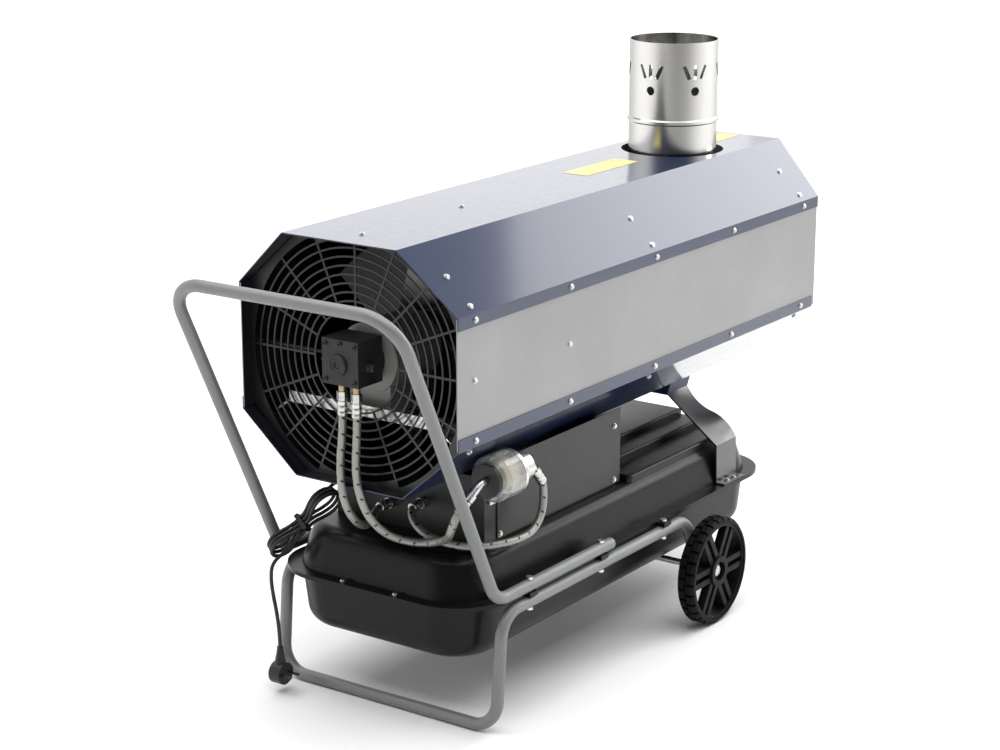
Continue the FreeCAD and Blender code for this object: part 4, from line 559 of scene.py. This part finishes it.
cord_route = [gland, lead_corner]
for run in range(HANK_RUNS):
    sense = 1 if run % 2 == 0 else -1
    rise = HANK_STEP * run
    waist = sense * HANK_WAIST
    if run == 0:
        cord_route.append(hank_place(-HALF_RUN, waist, 0))
    for way, share in zip((-sense, sense), TIE_RISES):
        cord_route.append(hank_place(way * TIE_RUN, waist, rise + HANK_STEP * share))
    if run == HANK_RUNS - 1:
        break
    reach = LOOPS[run] / math.cos(math.radians(LOOP_SPACING / 2))
    for turn in LOOP_TURNS:
        angle = math.radians(turn)
        cord_route.append(hank_place(sense * (HALF_RUN + reach * math.cos(angle)),
                                     sense * reach * math.sin(angle), rise + HANK_STEP))
tail_start = hank_place(HALF_RUN * TAIL_SHARE, HANK_WAIST, HANK_STEP * HANK_RUNS)
plug_top = Vector((-469, 174, 76))
cord_route += [
    tail_start + HANK_ALONG * TAIL_RUN, Vector((-474, 182, 224)), Vector((-476, 184, 196)),
    Vector((-474, 181, 166)), Vector((-471, 177, 136)), plug_top + Vector((0, 0, PLUG_RUN)), plug_top,
]
line = spline_line(metres(cord_route))
cord, length = tube_piece("mains_cord", line, CORD_RADIUS, "cord_black", 16)
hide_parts("cord_lead", "cord_hank", "cord_tail")
relief = [
    (0.0084, -0.022), (0.0076, -0.017), (0.0054, -0.016), (0.0054, -0.014), (0.0066, -0.013),
    (0.0066, -0.010), (0.0048, -0.009), (0.0048, -0.007), (0.0058, -0.006), (0.0058, -0.003),
    (0.0044, -0.002), (0.0044, 0), (0.0052, 0.001), (0.0052, 0.003), (0.0032, 0.004),
]
sleeve = lathe("plug_sleeve", relief, plug_top / 1000, (0, 0, 1), "cord_black")


# Blank yellow strips on the top panel
STRIP_CORNER = 0.003
STRIP_THICKNESS = 0.0003
CORNER_STEPS = 4
TOP_LEVEL = 0.7861


def strip(name, x, y):
    """A thin blank sticker with softened corners."""
    low_x, high_x = x
    low_y, high_y = y
    corner = STRIP_CORNER
    quarters = (
        (high_x - corner, high_y - corner, 0), (low_x + corner, high_y - corner, 90),
        (low_x + corner, low_y + corner, 180), (high_x - corner, low_y + corner, 270),
    )
    outline = []
    for cx, cy, start in quarters:
        for step in range(CORNER_STEPS + 1):
            angle = math.radians(start + step * 90 / CORNER_STEPS)
            outline.append((cx + corner * math.cos(angle), cy + corner * math.sin(angle)))
    count = len(outline)
    points = [(px, py, TOP_LEVEL) for px, py in outline]
    points += [(px, py, TOP_LEVEL + STRIP_THICKNESS) for px, py in outline]
    faces = [tuple(reversed(range(count))), tuple(range(count, 2 * count))]
    faces += [(step, (step + 1) % count, count + (step + 1) % count, count + step) for step in range(count)]
    add_mesh(name, points, faces, "strip_yellow", smooth=False)


strip("top_strip_front", (0.139, 0.306), (-0.022, 0.028))
strip("top_strip_rear", (0.566, 0.645), (-0.034, 0.008))

# Fuel pump details: cover screws, a boss and a pressure port
PUMP_HEIGHT = 0.5967
SCREW_PLACES = ((-28, 28), (28, 28), (-28, -28), (28, -28), (0, 30))
BOSS_SHIFT = Vector((0, 0.004, -0.004))
PORT_PLACE = Vector((-0.491, -0.035, AXIS_HEIGHT))
pump_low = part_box("fuel_pump")[0]
pump_middle = Vector((pump_low.x, 0, PUMP_HEIGHT))
screw_head = [
    (0.0034, 0), (0.0036, 0.0004), (0.0036, 0.0026), (0.0031, 0.0031), (0.0019, 0.0031), (0.0017, 0.0012),
]
for number, (y, z) in enumerate(SCREW_PLACES, 1):
    screw_place = pump_middle + Vector((0, y, z)) / 1000
    lathe(f"pump_screw_{number}", screw_head, screw_place, (-1, 0, 0), "pump_black", 20)
boss = [
    (0.017, 0), (0.017, 0.003), (0.0155, 0.0045), (0.0125, 0.0045), (0.0115, 0.003), (0.006, 0.003),
    (0.005, 0.001),
]
lathe("pump_boss", boss, pump_middle + BOSS_SHIFT, (-1, 0, 0), "pump_black", 40)
port = [(0.008, 0), (0.008, 0.004), (0.0065, 0.005), (0.0065, 0.010), (0.0045, 0.012)]
lathe("pump_side_port", port, PORT_PLACE, (0, -1, 0), "pump_black", 6)


# Stage: white floor, a studio dark behind the camera and overhead, bright behind the heater
FLOOR_REACH = 3.4
FLOOR_CORNERS = ((-1, -1), (1, -1), (1, 1), (-1, 1))
CEILING_EDGE = (0.4, 0.56)
CEILING_STRENGTH = (1.25, 0.3)
FRONT_EDGE = (0.25, 0.8)
FRONT_SHARE = (1.0, 0.14)
BELOW_LIFT = 8


def plain_white(name):
    paint = Paint(name, (0.88, 0.88, 0.88), 0.9)
    paint.tint(paint.spread(paint.noise(0.4, 2), 0, 1), (0.9, 0.9, 0.9))
    paint.set(Specular_IOR_Level=0.1)
    return paint.material


floor_mesh = bpy.data.meshes.new("floor")
floor_points = [(x * FLOOR_REACH, y * FLOOR_REACH, 0) for x, y in FLOOR_CORNERS]
floor_mesh.from_pydata(floor_points, [], [(0, 1, 2, 3)])
floor = bpy.data.objects.new("floor", floor_mesh)
floor_mesh.materials.append(plain_white("floor_white"))
bpy.context.scene.collection.objects.link(floor)

world = bpy.data.worlds.new("studio")
world.use_nodes = True
sky = world.node_tree
background = sky.nodes["Background"]
background.inputs["Color"].default_value = (1, 1, 1, 1)
way = sky.nodes.new("ShaderNodeTexCoord").outputs["Generated"]
split = sky.nodes.new("ShaderNodeSeparateXYZ")
sky.links.new(way, split.inputs["Vector"])
toward_front = sky.nodes.new("ShaderNodeVectorMath")
toward_front.operation = "DOT_PRODUCT"
toward_front.inputs[1].default_value = (-math.cos(CAMERA_YAW), -math.sin(CAMERA_YAW), 0)
sky.links.new(way, toward_front.inputs[0])
below = sky.nodes.new("ShaderNodeMath")
below.operation = "MINIMUM"
below.inputs[1].default_value = 0
sky.links.new(split.outputs["Z"], below.inputs[0])
lit_below = sky.nodes.new("ShaderNodeMath")
lit_below.operation = "MULTIPLY_ADD"
lit_below.inputs[1].default_value = BELOW_LIFT
sky.links.new(below.outputs[0], lit_below.inputs[0])
sky.links.new(toward_front.outputs["Value"], lit_below.inputs[2])
ceiling = map_range(sky, split.outputs["Z"], *CEILING_EDGE, *CEILING_STRENGTH, "SMOOTHSTEP")
front = map_range(sky, lit_below.outputs[0], *FRONT_EDGE, *FRONT_SHARE, "SMOOTHSTEP")
both = sky.nodes.new("ShaderNodeMath")
both.operation = "MULTIPLY"
sky.links.new(ceiling, both.inputs[0])
sky.links.new(front, both.inputs[1])
sky.links.new(both.outputs[0], background.inputs["Strength"])
bpy.context.scene.world = world
bpy.context.scene.view_settings.view_transform = "Standard"


def softbox(name, place, target, width, height, power):
    data = bpy.data.lights.new(name, "AREA")
    data.shape = "RECTANGLE"
    data.size = width
    data.size_y = height
    data.energy = power
    light = bpy.data.objects.new(name, data)
    light.location = place
    light.rotation_mode = "QUATERNION"
    light.rotation_quaternion = (Vector(target) - Vector(place)).to_track_quat("-Z", "Y")
    light.visible_camera = False
    bpy.context.scene.collection.objects.link(light)


softbox("key", (2.6, -0.6, 2.1), (0, -0.5, 1.8), 1.8, 1.3, 30)
softbox("back_left", (3.4, 2.9, 1.7), (0, 0, 0.8), 2.6, 1.4, 6)
softbox("side", (2.7, -1.6, 1.3), (0.35, -0.2, 0.35), 0.9, 0.9, 14)
softbox("overhead", (0, 0, 5.5), (0, 0, 0), 9, 9, 700)
